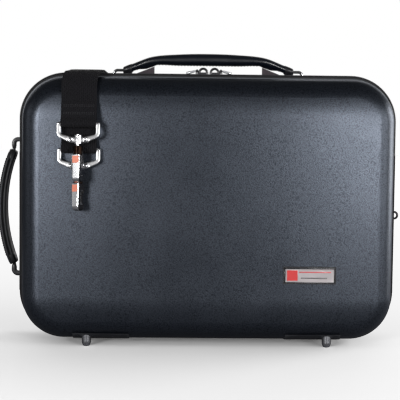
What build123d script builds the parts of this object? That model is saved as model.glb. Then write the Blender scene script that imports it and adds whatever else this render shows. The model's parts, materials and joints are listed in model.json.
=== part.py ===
from build123d import *
from math import cos, pi, radians, sin, tan
import os

# Zippered hard case for a pair of clarinets: two moulded shells that open like a book.
#
# The case stands on the metal feet of its long bottom edge. X runs along that edge, Y runs
# from the lid (front) to the rear shell, Z is up. Both shells are drawn about the parting
# plane y = 0, and the finished pieces are then set about the middle of their footprint.
# All sizes are in millimetres and degrees.

# ---------------------------------------------------------------- driving sizes
case_width = 400.0
case_height = 281.0
corner_radius = 46.0
wall = 2.8
draft = 2.0
edge_radius = 20.0
lid_depth = 37.0
base_depth = 60.0
face_radius = 5000.0         # the lid's face is a very large dome
rim_half_gap = 9.0           # each shell's rim stands this far from the parting plane
fit_gap = 0.3                # clearance between pieces of different bodies
running_clearance = 0.05     # radial, a shaft in its hole

bead_proud = 2.6
bead_width = 3.4
bead_lap = 0.8
bead_setback = 0.6           # inside the shell's bottom, clear of the hinge leaves

tape_thickness = 1.0
tape_proud = 3.7             # outside of the zip tape beyond the shells
tape_foot = 3.0              # width of the tape's turned foot at the bead
chain_reach = 4.2            # half width of the zip chain
chain_core = 2.6             # teeth start here, and reach across the middle
chain_height = 2.6
tooth_pitch = 4.0
tooth_width = 1.5
tooth_overreach = 0.9
tooth_root = 0.2             # each tooth starts this far inside the core
zip_end_height = 56.0        # the zip stops this far above the floor

slider_length = 14.0
slider_half_width = 6.4
slider_plate = 1.4
slider_gap = 0.35
slider_rest = 7.6            # from the middle of the case to a slider's middle
lip_width = 1.2
wedge_outline = ((0.2, -1.9), (1.6, -2.2), (4.6, 0.0), (1.6, 2.2), (0.2, 1.9))
ear_gap = 2.6
bridge_shift = 1.4
bridge_radius = 4.1
bridge_wire = 0.8
ear_radius = 1.5
ear_width = 1.3
pull_length = 11.0
pull_width = 5.0
pull_thickness = 1.5
pull_droop = 11.0
pull_pin_radius = 0.6
pull_neck = 2.2
pull_hole = 0.9

hinge_centre = 114.0
hinge_width = 60.0
leaf_thickness = 0.9
knuckle_radius = 2.2
pin_radius = 1.0

foot_height = 7.5
foot_radius = 4.7
foot_tip_radius = 2.0
foot_centre = 129.5
lid_foot_inset = 23.0
base_foot_inset = 48.0       # both from the shell's own rim

handle_reach = 94.0          # middle of the handle to each tip
handle_bend = 62.0
handle_height = 27.5         # top of the grip over the shell
handle_pivot_height = 8.5
handle_grip = (20.0, 13.4)   # width and thickness of the grip
handle_tip = (12.0, 7.0)
bend_drop = 3.8              # the grip's top falls by this much from the middle to a bend
handle_inset = 26.0          # from the parting plane, on the rear shell
post_wire = 1.6
post_reach = 10.0            # a post's leg stands this far outside the tip
post_depth = 11.0            # how far its pin enters the handle
riser_thickness = 2.4
riser_span = (59.5, 83.0)
riser_height = (13.0, 3.8)   # at its inner and outer end

side_handle_middle = 145.0
side_handle_length = 125.0
side_handle_width = 24.0
side_handle_thickness = 8.4
side_handle_bow = 12.0
side_pivot_stand = 14.0      # from the shell's side to the pivot line
side_post_reach = 12.0
anchor_thickness = 1.2
rivet_radius = 2.4
rivet_height = 1.0

ring_height = 9.0
ring_wire = 0.9
ring_reach = 11.0
ring_level = 139.0
ring_stand = 2.6

badge_size = (54.5, 16.4)
badge_centre = (108.7, 79.3)
badge_frame = 1.3
badge_sink = 1.4
badge_plate_thickness = 0.8

strap_width = 37.0
strap_thickness = 1.5
strap_ply_gap = 0.15
strap_middle = -137.2
strap_end_height = 50.0      # the bight at the back hangs this far over the floor

frame_arm = 20.4             # from the frame's middle to the middle of each arm
frame_shoulder = 12.5        # where the arms turn in
frame_drop = 17.0            # from the bar to the lower rail
boss_height = 8.6
frame_wire = 1.6
frame_bar = 2.0
hub_radius = 2.9
hub_length = 21.0
frame_tilt = 9.0
outer_bar = (11.8, 238.5)    # distance off the lid's face, height over the floor
inner_bar = (4.0, 211.0)
boss_radius = 4.0
post_swivel = 1.6
hook_start = 33.2            # distances along the hook's line from the frame's bar
hook_end = 61.5
inner_hook_extra = 3.0
hook_depth = 11.6
hook_width = (9.8, 8.0)      # at its head and at its nose
hook_round = 5.2
throat = (5.2, 15.5)         # across and along the hook
spine_thickness = 3.8
head_length = 6.5
hook_edge = 1.6
collar_start = 23.6
collar_radius = 5.2
neck_radius = 2.4
gate_thickness = 2.4
gate_width = 4.6
gate_pin = 0.7
gate_barrel = 1.5
gate_inset = 1.6             # from the back of the hook to its pin
gate_length = 14.0
hook_hole_round = 2.0
inlay_drop = 0.9
inlay_size = (7.4, 7.6)
inlay_thickness = 0.7
outer_turn = -20.0
inner_turn = -34.0

lining_thickness = 5.0
tray_face = 2.0
joint_slot = 44.0
joint_slot_depth = 46.0
joint_pitch = 50.0
upper_joint = 240.0
lower_joint = 256.0
top_slot_height = 253.0
joint_right = 66.0           # all four joint slots end here
bell_pocket = (104.0, 84.0, 46.0, 52.0)     # length, mouth, throat, depth
bell_left = 80.0
bell_heights = (225.0, 135.0)
mouthpiece_pocket = (100.0, 30.0, 32.0)
mouthpiece_left = 74.0
mouthpiece_heights = (70.0, 34.0)
barrel_pocket = (70.0, 38.0, 36.0)
barrel_lefts = (-180.0, -104.0)
lower_row = 46.0
box_pocket = (88.0, 28.0, 36.0)
box_left = -26.0
block_seam = 70.0            # between the joints' block and the bells', and on down
left_level = 73.0            # the joints' block stands on the barrels' here
right_level = 89.0           # and the bells' block on the mouthpieces' here
block_gap = 0.2
flap_margin = 2.5
flap_thickness = 2.4
flap_barrel = 1.6
flap_pin = 0.8

# ---------------------------------------------------------------- places worked out from them
shell_bottom = foot_height
shell_top = shell_bottom + case_height
mid_height = (shell_bottom + shell_top) / 2
lid_face = -(rim_half_gap + lid_depth)
base_face = rim_half_gap + base_depth
half_width = case_width / 2
slope = tan(radians(draft))

tape_middle = tape_proud - tape_thickness / 2
chain_low = tape_middle - chain_height / 2
chain_top = tape_middle + chain_height / 2
straight_run = half_width - corner_radius

hinge_height = shell_bottom - leaf_thickness
handle_pivot = shell_top + handle_pivot_height
side_pivot = -(half_width + side_pivot_stand)
ring_pivot = half_width + ring_stand
strap_back = lid_face + 1.0          # the strap lies just in front of the lid's dome here


# ---------------------------------------------------------------- helpers
def outline(y, side, top, bottom, radius, forward=True):
    """The case's rounded outline at depth y, grown at its sides, its top and its bottom."""
    middle = mid_height + (top - bottom) / 2
    plane = Plane((0, y, middle), x_dir=(1, 0, 0), z_dir=(0, -1 if forward else 1, 0))
    return plane * RectangleRounded(case_width + 2 * side, case_height + top + bottom, radius)


def band(y_low, y_high, outside, inside):
    """A closed band round the case between two depths; each edge is (side, top, bottom)."""
    length = y_high - y_low
    outer = extrude(outline(y_high, *outside, corner_radius + outside[0]), length)
    inner = extrude(outline(y_high, *inside, corner_radius + inside[0]), length)
    return outer - inner


def shell_form(front, shrink):
    """The closed outer form of the lid (front) or the rear shell, made smaller by shrink."""
    rim = -rim_half_gap if front else rim_half_gap
    depth = (lid_depth if front else base_depth) - shrink
    rounded = outline(rim, -shrink, -shrink, -shrink, corner_radius - shrink, front)
    form = extrude(rounded, depth, taper=draft)
    if front:
        form = form & Pos(0, lid_face + face_radius, mid_height) * Sphere(face_radius - shrink)
    face = form.faces().sort_by(Axis.Y)[0 if front else -1]
    return fillet(face.edges(), edge_radius - shrink)


def block(low, high):
    """A box between two corners."""
    size = [b - a for a, b in zip(low, high)]
    middle = [(a + b) / 2 for a, b in zip(low, high)]
    return Pos(*middle) * Box(*size)


def rod(start, end, radius):
    """A round bar between two points."""
    line = Vector(*end) - Vector(*start)
    return Plane(start, z_dir=line) * Cylinder(
        radius, line.length, align=(Align.CENTER, Align.CENTER, Align.MIN))


def wire(points, radius, bends):
    """A bent round wire: straight runs joined by tangent arcs."""
    path = FilletPolyline(*points, radius=bends)
    return sweep(Plane(path @ 0, z_dir=path % 0) * Circle(radius), path=path)


def ribbon(points, bends, thickness):
    """A strip of webbing that follows points (y, z), as wide as the strap."""
    path = FilletPolyline(*[(strap_middle, y, z) for y, z in points], radius=bends)
    section = Plane(path @ 0, x_dir=(1, 0, 0), z_dir=path % 0)
    return sweep(section * Rectangle(strap_width, thickness), path=path)


def rivets(centres, direction, radius=rivet_radius, height=rivet_height):
    """Domed rivet heads at each centre, standing out along direction."""
    head = Cylinder(radius, height, align=(Align.CENTER, Align.CENTER, Align.MIN))
    head = fillet(head.faces().sort_by(Axis.Z)[-1].edges(), height * 0.8)
    return [Plane(c, z_dir=direction) * head for c in centres]


def both(part):
    """A piece and its mirror image across the middle of the case."""
    return [part, mirror(part, about=Plane.YZ)]


def group(pieces):
    """Several equal pieces that share one node."""
    return Compound(children=[s for p in pieces for s in p.solids()])


# ---------------------------------------------------------------- shells and their trim
def front_shell():
    """The moulded lid, open at the back, with a shallow recess for the badge."""
    shell = shell_form(True, 0) - shell_form(True, wall)
    width, height = badge_size
    x, z = badge_centre
    recess = block((x - width / 2 - badge_frame, lid_face - 6, z - height / 2 - badge_frame),
                   (x + width / 2 + badge_frame, badge_floor(), z + height / 2 + badge_frame))
    return shell - recess


def badge_floor():
    """Depth of the badge recess: a set sink below the dome at the badge's middle."""
    x, z = badge_centre
    dome = lid_face + (x ** 2 + (z - mid_height) ** 2) / (2 * face_radius)
    return dome + badge_sink


def badge_bezel():
    """The dark frame that lines the recess round the plate."""
    width, height = badge_size
    x, z = badge_centre
    low = badge_floor() - badge_sink
    outer = block((x - width / 2 - badge_frame, low, z - height / 2 - badge_frame),
                  (x + width / 2 + badge_frame, badge_floor(), z + height / 2 + badge_frame))
    window = block((x - width / 2, low - 1, z - height / 2),
                   (x + width / 2, badge_floor() + 1, z + height / 2))
    return outer - window


def badge_plate():
    """A bare metal plate on the recess floor."""
    width, height = badge_size
    x, z = badge_centre
    plate = Pos(x, badge_floor() - badge_plate_thickness / 2, z) * Box(
        width - fit_gap, badge_plate_thickness, height - fit_gap)
    return fillet(plate.edges().filter_by(Axis.Y), 1.0)


def rear_shell():
    """The moulded rear shell, open at the front; its flat back is what it lies on."""
    return shell_form(False, 0) - shell_form(False, wall)


def bead(front):
    """Piping that caps a shell's edge: proud at the sides and top, set back at the hinge."""
    proud = (bead_proud, bead_proud, -bead_setback)
    near, far = rim_half_gap - bead_lap, rim_half_gap + bead_width
    low, high = (-far, -near) if front else (near, far)
    ring = band(low, high, proud, (-wall, -wall, -wall))
    return ring - shell_form(front, 0)


def tape(front):
    """Half of the zip tape: a flat strip beside the chain, turned down to the bead."""
    reach = rim_half_gap - bead_lap
    out = (tape_proud, tape_proud, 0)
    under = tuple(v - tape_thickness for v in out)
    flat_edges = sorted((chain_reach, reach))
    foot_edges = sorted((reach - tape_thickness, reach))
    foot_inside = tuple(v - tape_foot for v in out)
    if front:
        flat_edges = [-v for v in reversed(flat_edges)]
        foot_edges = [-v for v in reversed(foot_edges)]
    return band(*flat_edges, out, under) + band(*foot_edges, under, foot_inside)


def tooth(x, front):
    """One tooth that reaches from the chain's core across the middle."""
    side = -1 if front else 1
    root, tip = side * (chain_core + tooth_root), -side * tooth_overreach
    return block((x - tooth_width / 2, min(root, tip), 0),
                 (x + tooth_width / 2, max(root, tip), chain_height))


def comb(length, front, opening=0):
    """Teeth in a row along X about x = 0, none in the opening that the sliders hold apart."""
    shift = 0 if front else tooth_pitch / 2
    half = int(length / 2 / tooth_pitch) * tooth_pitch
    places = [shift - half + n * tooth_pitch for n in range(int(2 * half / tooth_pitch))]
    return [tooth(x, front) for x in places if abs(x) > opening / 2]


def chain(front):
    """Half of the zip chain: a core along the tape and the teeth that it carries."""
    core = (-chain_reach, -chain_core) if front else (chain_core, chain_reach)
    ring = band(*core, (chain_top,) * 3, (chain_low,) * 3)
    ring -= block((-case_width, -chain_reach, 0), (case_width, chain_reach, zip_end_height))
    side_top = shell_top - corner_radius
    side_middle = (side_top + zip_end_height) / 2
    between_sliders = 2 * slider_rest + slider_length
    top_row = comb(2 * straight_run, front, between_sliders)
    teeth = [Pos(0, 0, shell_top + chain_low) * t for t in top_row]
    radius = corner_radius + chain_low
    corner_count = int(radius * pi / 2 / tooth_pitch)
    for side in (-1, 1):
        upright = Pos(side * (half_width + chain_low), 0, side_middle) * Rot(0, 90 * side, 0)
        teeth += [upright * t for t in comb(side_top - zip_end_height, front)]
        centre = Pos(side * straight_run, 0, side_top)
        for n in range(corner_count):
            angle = 90 * (n + (0.25 if front else 0.75)) / corner_count
            teeth.append(centre * Rot(0, side * angle, 0) * Pos(0, 0, radius) * tooth(0, front))
    return ring.fuse(*teeth).clean()


def hinge_leaf(front, x):
    """A leaf that wraps the shell's bottom edge and carries its knuckles on the axis."""
    side = -1 if front else 1
    reach = (lid_depth if front else base_depth) * 0.9
    near, far = side * rim_half_gap, side * (rim_half_gap + reach)
    region = block((x - hinge_width / 2, min(near, far), 0),
                   (x + hinge_width / 2, max(near, far), shell_bottom + edge_radius / 3))
    piping = block((x - hinge_width, -rim_half_gap - bead_width, shell_bottom),
                   (x + hinge_width, rim_half_gap + bead_width, shell_top))
    pad = (shell_form(front, -leaf_thickness) & region) - shell_form(front, 0) - piping
    third = hinge_width / 3
    spans = [(-third / 2, third / 2)] if front else [(-1.5 * third, -third / 2 - fit_gap),
                                                    (third / 2 + fit_gap, 1.5 * third)]
    leaf = pad
    for low, high in spans:
        tongue = block((x + low, min(0, side * rim_half_gap), hinge_height),
                       (x + high, max(0, side * rim_half_gap), shell_bottom))
        barrel = rod((x + low, 0, hinge_height), (x + high, 0, hinge_height), knuckle_radius)
        leaf = leaf + tongue + barrel
    bore = pin_radius + (running_clearance if front else 0)
    leaf -= rod((x - hinge_width, 0, hinge_height), (x + hinge_width, 0, hinge_height), bore)
    foot_y = -lid_foot_inset - rim_half_gap if front else base_foot_inset + rim_half_gap
    foot_x = foot_centre if x > 0 else -foot_centre
    return leaf - rod((foot_x, foot_y, 0), (foot_x, foot_y, shell_top), foot_radius)


def hinge_pin(x):
    reach = hinge_width / 2
    return rod((x - reach, 0, hinge_height), (x + reach, 0, hinge_height), pin_radius)


def foot(front, x):
    """A domed metal foot with a small flat tip, seated on the drafted bottom."""
    inset = -lid_foot_inset - rim_half_gap if front else base_foot_inset + rim_half_gap
    root = shell_bottom + edge_radius / 3
    profile = Plane.XZ * make_face([
        Line((0, 0), (foot_tip_radius, 0)),
        Spline((foot_tip_radius, 0), (foot_radius * 0.86, foot_radius * 0.4),
               (foot_radius, foot_radius), tangents=((1, 0), (0, 1))),
        Line((foot_radius, foot_radius), (foot_radius, root)),
        Line((foot_radius, root), (0, root)),
        Line((0, root), (0, 0))])
    return Pos(x, inset, 0) * revolve(profile, Axis.Z) - shell_form(front, 0)


# ---------------------------------------------------------------- zip sliders
def slider(side):
    """A slider: two plates joined by its wedge, lips that hold the tape, a bridge and ears."""
    middle = side * slider_rest
    half = slider_length / 2
    top = shell_top + chain_top + slider_gap
    under = shell_top + chain_low - slider_gap
    plates = [block((middle - half, -slider_half_width, under - slider_plate),
                    (middle + half, slider_half_width, under)),
              block((middle - half, -slider_half_width, top),
                    (middle + half, slider_half_width, top + slider_plate))]
    plates = [fillet(p.edges().filter_by(Axis.Z), 2.2) for p in plates]
    wedge_end = middle - side * half
    wedge = [(wedge_end + side * x, y) for x, y in wedge_outline]
    post = extrude(Plane.XY.offset(under) * make_face(Polyline(*wedge, close=True)), top - under)
    body = plates[0] + plates[1] + post
    slot_low = shell_top + tape_middle - tape_thickness / 2 - slider_gap
    slot_high = shell_top + tape_middle + tape_thickness / 2 + slider_gap
    for y in (-1, 1):
        low, high = sorted((y * (slider_half_width - lip_width), y * slider_half_width))
        body += block((middle - half + 2.2, low, under), (middle + half - 2.2, high, slot_low))
        body += block((middle - half + 2.2, low, slot_high), (middle + half - 2.2, high, top))
    deck = top + slider_plate
    arch = Pos(middle - side * bridge_shift, 0, deck) * Rot(90, 0, 0) * Torus(bridge_radius, bridge_wire)
    arch = arch - block((-half_width, -half, deck - 3 * half), (half_width, half, deck - 0.4))
    body += arch
    x, z = pull_pivot(side)
    for y in (-1, 1):
        low, high = sorted((y * (ear_gap / 2), y * (ear_gap / 2 + ear_width)))
        ear = rod((x, low, z), (x, high, z), ear_radius)
        ear += block((x - ear_radius, low, deck - 0.4), (x + ear_radius, high, z))
        body += ear
    pin_reach = ear_gap / 2 + ear_width
    return body + rod((x, -pin_reach, z), (x, pin_reach, z), pull_pin_radius)


def pull_pivot(side):
    """The pull's axis: above the slider's outer end."""
    deck = shell_top + chain_top + slider_gap + slider_plate
    return side * (slider_rest + slider_length / 2 - ear_radius - 0.2), deck + ear_radius + 0.3


def pull(side):
    """A short pull tab with a rounded end, hung on the slider's pin."""
    x, z = pull_pivot(side)
    width = pull_width
    eye = rod((0, -ear_gap / 2 + fit_gap / 2, 0), (0, ear_gap / 2 - fit_gap / 2, 0), ear_radius)
    neck = block((0, -ear_gap / 2 + fit_gap / 2, -pull_thickness / 2),
                 (pull_neck + 0.5, ear_gap / 2 - fit_gap / 2, pull_thickness / 2))
    leaf = block((pull_neck, -width / 2, -pull_thickness / 2),
                 (pull_length, width / 2, pull_thickness / 2))
    leaf = fillet(leaf.edges().filter_by(Axis.Z).group_by(Axis.X)[-1], width * 0.45)
    tab = eye + neck + leaf
    tab -= rod((0, -width, 0), (0, width, 0), pull_pin_radius + running_clearance)
    tab -= Pos(pull_length - 3.2, 0, 0) * Cylinder(pull_hole, 4 * pull_thickness)
    turned = Rot(0, pull_droop, 0) * tab
    if side < 0:
        turned = mirror(turned, about=Plane.YZ)
    return Pos(x, 0, z) * turned


# ---------------------------------------------------------------- handles
def oval(centre, direction, across, width, thickness):
    """One oval section of a grip."""
    return Plane(centre, x_dir=across, z_dir=direction) * Ellipse(width / 2, thickness / 2)


def top_handle():
    """A padded grip, flat-topped between its bends and sloping down to both tips."""
    grip_width, grip_thickness = handle_grip
    tip_width, tip_thickness = handle_tip
    crown = shell_top + handle_height - grip_thickness / 2
    bend = crown - bend_drop / 2
    sections = []
    for reach, height, width, thick in (
            (-handle_reach, handle_pivot, tip_width, tip_thickness),
            (-handle_reach + 9, handle_pivot + 2.6, tip_width + 2, tip_thickness + 1.4),
            (-handle_bend, bend, grip_width - 1, grip_thickness - bend_drop),
            (-handle_bend / 2, crown - 0.4, grip_width, grip_thickness - 0.8),
            (0, crown, grip_width, grip_thickness)):
        sections.append((reach, height, width, thick))
    sections += [(-x, z, w, t) for x, z, w, t in reversed(sections[:-1])]
    faces = [oval((x, handle_inset, z), (1, 0, 0), (0, 1, 0), w, t) for x, z, w, t in sections]
    grip = loft(faces)
    bore = post_wire + running_clearance
    for side in (-1, 1):
        grip -= rod((side * (handle_reach + 1), handle_inset, handle_pivot),
                    (side * (handle_reach - post_depth - 1), handle_inset, handle_pivot), bore)
    return grip


def top_post():
    """A bent steel post: a leg up from its plate, an elbow, and the pin in the handle's tip."""
    leg = handle_reach + post_reach
    base = shell_top - (handle_inset - rim_half_gap) * slope
    bend = [(leg, handle_inset, base), (leg, handle_inset, handle_pivot),
            (handle_reach - post_depth, handle_inset, handle_pivot)]
    return wire(bend, post_wire, 4.0) - shell_form(False, 0)


def top_plate():
    """The plate under a post, riveted to the shell."""
    leg = handle_reach + post_reach
    base = shell_top - (handle_inset - rim_half_gap) * slope
    plate = Pos(leg, handle_inset, base + anchor_thickness / 2 - 0.2) * Box(
        26, 11, anchor_thickness)
    plate = fillet(plate.edges().filter_by(Axis.Z), 3.0)
    heads = rivets([(leg + x, handle_inset, base + anchor_thickness - 0.25) for x in (-8.5, 8.5)],
                   (0, 0, 1))
    hole = rod((leg, handle_inset, 0), (leg, handle_inset, 2 * shell_top), post_wire)
    return plate - shell_form(False, 0) - hole + heads[0] + heads[1]


def riser():
    """A thin upright web that carries the grip's sloping end when the handle stands."""
    inner, outer = riser_span
    high, low = riser_height
    base = shell_top - 1.5
    points = [(inner, base), (outer, base), (outer, shell_top + low), (inner, shell_top + high)]
    web = extrude(Plane.XZ.offset(-handle_inset - riser_thickness / 2) * make_face(
        Polyline(*points, close=True)), riser_thickness)
    return web - shell_form(False, 0)


def side_handle():
    """A padded strap handle, bowed away from the case's left side."""
    half = side_handle_length / 2
    thick = side_handle_thickness / 2
    bow = ThreePointArc((side_pivot, side_handle_middle - half),
                        (side_pivot - side_handle_bow, side_handle_middle),
                        (side_pivot, side_handle_middle + half))
    path = Plane.XZ.offset(-handle_inset) * bow
    section = Plane(path @ 0, x_dir=(0, 1, 0), z_dir=path % 0) * RectangleRounded(
        side_handle_width, side_handle_thickness, thick * 0.7)
    grip = sweep(section, path=path)
    bore = post_wire + running_clearance
    for side in (-1, 1):
        end = side_handle_middle + side * (half + 3)
        grip -= rod((side_pivot, handle_inset, end),
                    (side_pivot, handle_inset, end - side * (post_depth + 4)), bore)
    return grip


def side_post(side):
    """A bent steel post beside one end of the side handle."""
    level = side_handle_middle + side * (side_handle_length / 2 + side_post_reach)
    wall_x = -half_width + (handle_inset - rim_half_gap) * slope
    inside = side_handle_middle + side * (side_handle_length / 2 - post_depth + 2)
    post = wire([(wall_x, handle_inset, level), (side_pivot, handle_inset, level),
                 (side_pivot, handle_inset, inside)], post_wire, 4.0)
    return post - shell_form(False, 0)


def side_plate(side):
    """The riveted plate under one of the side handle's posts."""
    level = side_handle_middle + side * (side_handle_length / 2 + side_post_reach)
    wall_x = -half_width + (handle_inset - rim_half_gap) * slope
    plate = Pos(wall_x - anchor_thickness / 2 + 0.2, handle_inset, level) * Box(
        anchor_thickness, 11, 26)
    hole = rod((-case_width, handle_inset, level), (0, handle_inset, level), post_wire)
    plate = fillet(plate.edges().filter_by(Axis.X), 3.0) - shell_form(False, 0) - hole
    heads = rivets([(wall_x - anchor_thickness + 0.25, handle_inset, level + z)
                    for z in (-8.5, 8.5)], (-1, 0, 0))
    return plate + heads[0] + heads[1]


# ---------------------------------------------------------------- strap ring on the right side
def strap_ring():
    """A small D of round wire; its straight bar turns in the clip."""
    half = ring_height / 2 - ring_wire
    x = ring_pivot
    bow = wire([(x, handle_inset, ring_level + half),
                (x + ring_reach, handle_inset, ring_level + half),
                (x + ring_reach, handle_inset, ring_level - half),
                (x, handle_inset, ring_level - half)], ring_wire, half * 0.96)
    bar = rod((x, handle_inset, ring_level - half), (x, handle_inset, ring_level + half), ring_wire)
    ends = [Pos(x, handle_inset, ring_level + z) * Sphere(ring_wire) for z in (-half, half)]
    return bow + bar + ends[0] + ends[1]


def ring_clip():
    """A folded plate round the ring's bar, riveted to the shell's right side."""
    wall_x = half_width - (handle_inset - rim_half_gap) * slope
    half = ring_height / 2 - 2 * ring_wire - 0.4
    barrel = rod((ring_pivot, handle_inset, ring_level - half),
                 (ring_pivot, handle_inset, ring_level + half), ring_wire + 0.9)
    plate = Pos(wall_x + anchor_thickness / 2 - 0.2, handle_inset + 8, ring_level) * Box(
        anchor_thickness, 20, 10)
    plate = fillet(plate.edges().filter_by(Axis.X), 2.0) - shell_form(False, 0)
    neck = block((wall_x, handle_inset - 1, ring_level - half),
                 (ring_pivot, handle_inset + 1.6, ring_level + half)) - shell_form(False, 0)
    head = rivets([(wall_x + anchor_thickness - 0.25, handle_inset + 11, ring_level)], (1, 0, 0))[0]
    clip = plate + neck + barrel + head
    bore = ring_wire + running_clearance
    return clip - rod((ring_pivot, handle_inset, ring_level - ring_height),
                      (ring_pivot, handle_inset, ring_level + ring_height), bore)


# ---------------------------------------------------------------- shoulder strap
loop_radius = frame_bar + 0.25 + strap_thickness / 2
ply_pitch = strap_thickness + strap_ply_gap
strap_over_zip = shell_top + chain_top + 0.5 + strap_thickness / 2


def inner_strap():
    """The under layer: over the zip, down the lid, round the inner bar and sewn back up."""
    bar_y, bar_z = strap_back - inner_bar[0], inner_bar[1]
    back, front = bar_y + loop_radius, bar_y - loop_radius
    low = bar_z - loop_radius
    points = [(-fit_gap, strap_over_zip), (back, strap_over_zip - 3.8), (back, low),
              (front, low), (front, bar_z + 2.5), (back - ply_pitch, bar_z + 12),
              (back - ply_pitch, bar_z + 30)]
    turn = loop_radius - 0.01
    return ribbon(points, [22, turn, turn, 2.5, 4.0], strap_thickness)


def outer_strap():
    """The upper layer: it leaves the lid's face on its way to the outer bar."""
    bar_y, bar_z = strap_back - outer_bar[0], outer_bar[1]
    back, front = bar_y + loop_radius, bar_y - loop_radius
    low = bar_z - loop_radius
    on_lid = strap_back - inner_bar[0] + loop_radius - ply_pitch
    lean = Vector(0, on_lid - back, 18).normalized()
    away = Vector(0, -lean.Z, lean.Y) * ply_pitch
    knee = (back + away.Y, bar_z + 5.5 + away.Z)
    points = [(-fit_gap, strap_over_zip + ply_pitch), (on_lid, strap_over_zip - 2.0),
              (on_lid, bar_z + 23.5), (back, bar_z + 5.5), (back, low),
              (front, low), (front, bar_z + 2.0), knee,
              (knee[0] + 17 * lean.Y, knee[1] + 17 * lean.Z)]
    turn = loop_radius - 0.01
    return ribbon(points, [23.5, 12, 4.0, turn, turn, 2.0, 3.0], strap_thickness)


def rear_strap():
    """Both layers behind the zip line: over the rear shell and hanging down its back."""
    thickness = 2 * strap_thickness + strap_ply_gap
    top = strap_over_zip + ply_pitch / 2
    back = base_face + 0.8 + thickness / 2
    points = [(fit_gap, top), (back, top - 3.6), (back, strap_end_height)]
    return ribbon(points, [22], thickness)


# ---------------------------------------------------------------- strap frames and hooks
def at_bar(bar):
    """The place and tilt of a frame: its bar lies along X, its plane leans out below."""
    return Pos(strap_middle, strap_back - bar[0], bar[1]) * Rot(-frame_tilt, 0, 0)


def strap_frame(bar):
    """A cast frame: the bar in the webbing's loop, two arms and a lower rail with its boss."""
    arm, rail = frame_arm, -frame_drop
    hoop = wire([(-arm, 0, 0), (-arm, 0, -frame_shoulder), (-0.35 * arm, 0, rail),
                 (0.35 * arm, 0, rail), (arm, 0, -frame_shoulder), (arm, 0, 0)],
                frame_wire, [4.5, 3.0, 3.0, 4.5])
    bar_rod = rod((-arm, 0, 0), (arm, 0, 0), frame_bar)
    ends = [Pos(x, 0, 0) * Sphere(frame_bar) for x in (-arm, arm)]
    boss = Pos(0, 0, rail) * Cylinder(boss_radius, boss_height)
    hub = Pos(0, 0, rail) * Rot(0, 90, 0) * Cylinder(hub_radius, hub_length)
    frame = hoop + bar_rod + ends[0] + ends[1] + hub + boss
    frame -= Pos(0, 0, rail) * Cylinder(post_swivel + running_clearance, 2 * boss_height)
    return at_bar(bar) * frame


def hook_place(bar, turn):
    return at_bar(bar) * Rot(0, 0, turn)


def gate_seat(extra):
    """Depth and height of a gate's pin, in its hook's own frame."""
    return hook_depth / 2 - gate_inset, -(hook_start + extra) - head_length


def hook(bar, turn, extra):
    """A swivel snap hook: a stud, a head, a spine with an inlay seat, and a round nose."""
    top, end = -(hook_start + extra), -(hook_end + extra)
    half = hook_depth / 2
    line, hole_top = gate_seat(extra)
    side_view = Plane.YZ * (Pos(0, (top + end) / 2) * Rectangle(hook_depth, top - end))
    body = extrude(side_view, hook_width[0] / 2, both=True)
    body = fillet(body.edges().filter_by(Axis.X).group_by(Axis.Z)[0], hook_round)
    front_view = Plane.XZ * make_face(Polyline(
        (-hook_width[0] / 2, top), (hook_width[0] / 2, top), (hook_width[1] / 2, end),
        (-hook_width[1] / 2, end), close=True))
    body = body & extrude(front_view, hook_depth, both=True)
    long_edges = [e for e in body.edges() if e.length > hook_depth + hook_round]
    body = fillet(long_edges, hook_edge)
    spine = -half + spine_thickness
    hole = block((-hook_width[0], spine, hole_top - throat[1]),
                 (hook_width[0], spine + throat[0], hole_top))
    hole = fillet(hole.edges().filter_by(Axis.X), hook_hole_round)
    window = block((-hook_width[0], line - gate_thickness / 2 - fit_gap, hole_top - gate_length),
                   (hook_width[0], half + 1, hole_top - 2 * gate_barrel))
    slot = block((-gate_width / 2 - fit_gap, line - gate_barrel - fit_gap,
                  hole_top - 2 * gate_barrel - 1),
                 (gate_width / 2 + fit_gap, half + 1, hole_top + gate_barrel + fit_gap))
    seat = block((-inlay_size[0] / 2, -half - 1, top - inlay_drop - inlay_size[1]),
                 (inlay_size[0] / 2, -half + inlay_thickness, top - inlay_drop))
    body = body - hole - window - slot - seat
    boss_low = frame_drop + boss_height / 2
    boss_high = frame_drop - boss_height / 2
    stud = rod((0, 0, -boss_high + fit_gap), (0, 0, top - 1), post_swivel)
    cap = rod((0, 0, -boss_high + fit_gap), (0, 0, -boss_high + 1.4), post_swivel + 0.8)
    neck = rod((0, 0, -boss_low - fit_gap), (0, 0, -collar_start - extra), neck_radius)
    pin_reach = hook_width[0] / 2 - 0.3
    pin = rod((-pin_reach, line, hole_top), (pin_reach, line, hole_top), gate_pin)
    return hook_place(bar, turn) * (body + stud + cap + neck + pin)


def collar(bar, turn, extra):
    """The dark round collar between a hook's neck and its head, held on the stud."""
    start, end = -collar_start - extra, -hook_start - extra
    ring = fillet(rod((0, 0, start), (0, 0, end), collar_radius).edges(), 0.8)
    return hook_place(bar, turn) * (ring - rod((0, 0, start + 1), (0, 0, end - 1), post_swivel))


def gate(bar, turn, extra):
    """The sprung gate that closes a hook's throat; it turns on the pin in the head."""
    line, pivot = gate_seat(extra)
    barrel = rod((-gate_width / 2, line, pivot), (gate_width / 2, line, pivot), gate_barrel)
    tongue = block((-gate_width / 2, line - gate_thickness / 2, pivot - gate_length + fit_gap),
                   (gate_width / 2, line + gate_thickness / 2, pivot))
    tongue = fillet(tongue.edges().filter_by(Axis.X).group_by(Axis.Z)[0], gate_thickness * 0.4)
    lever = barrel + tongue
    bore = gate_pin + running_clearance
    lever -= rod((-gate_width, line, pivot), (gate_width, line, pivot), bore)
    return hook_place(bar, turn) * lever


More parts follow.
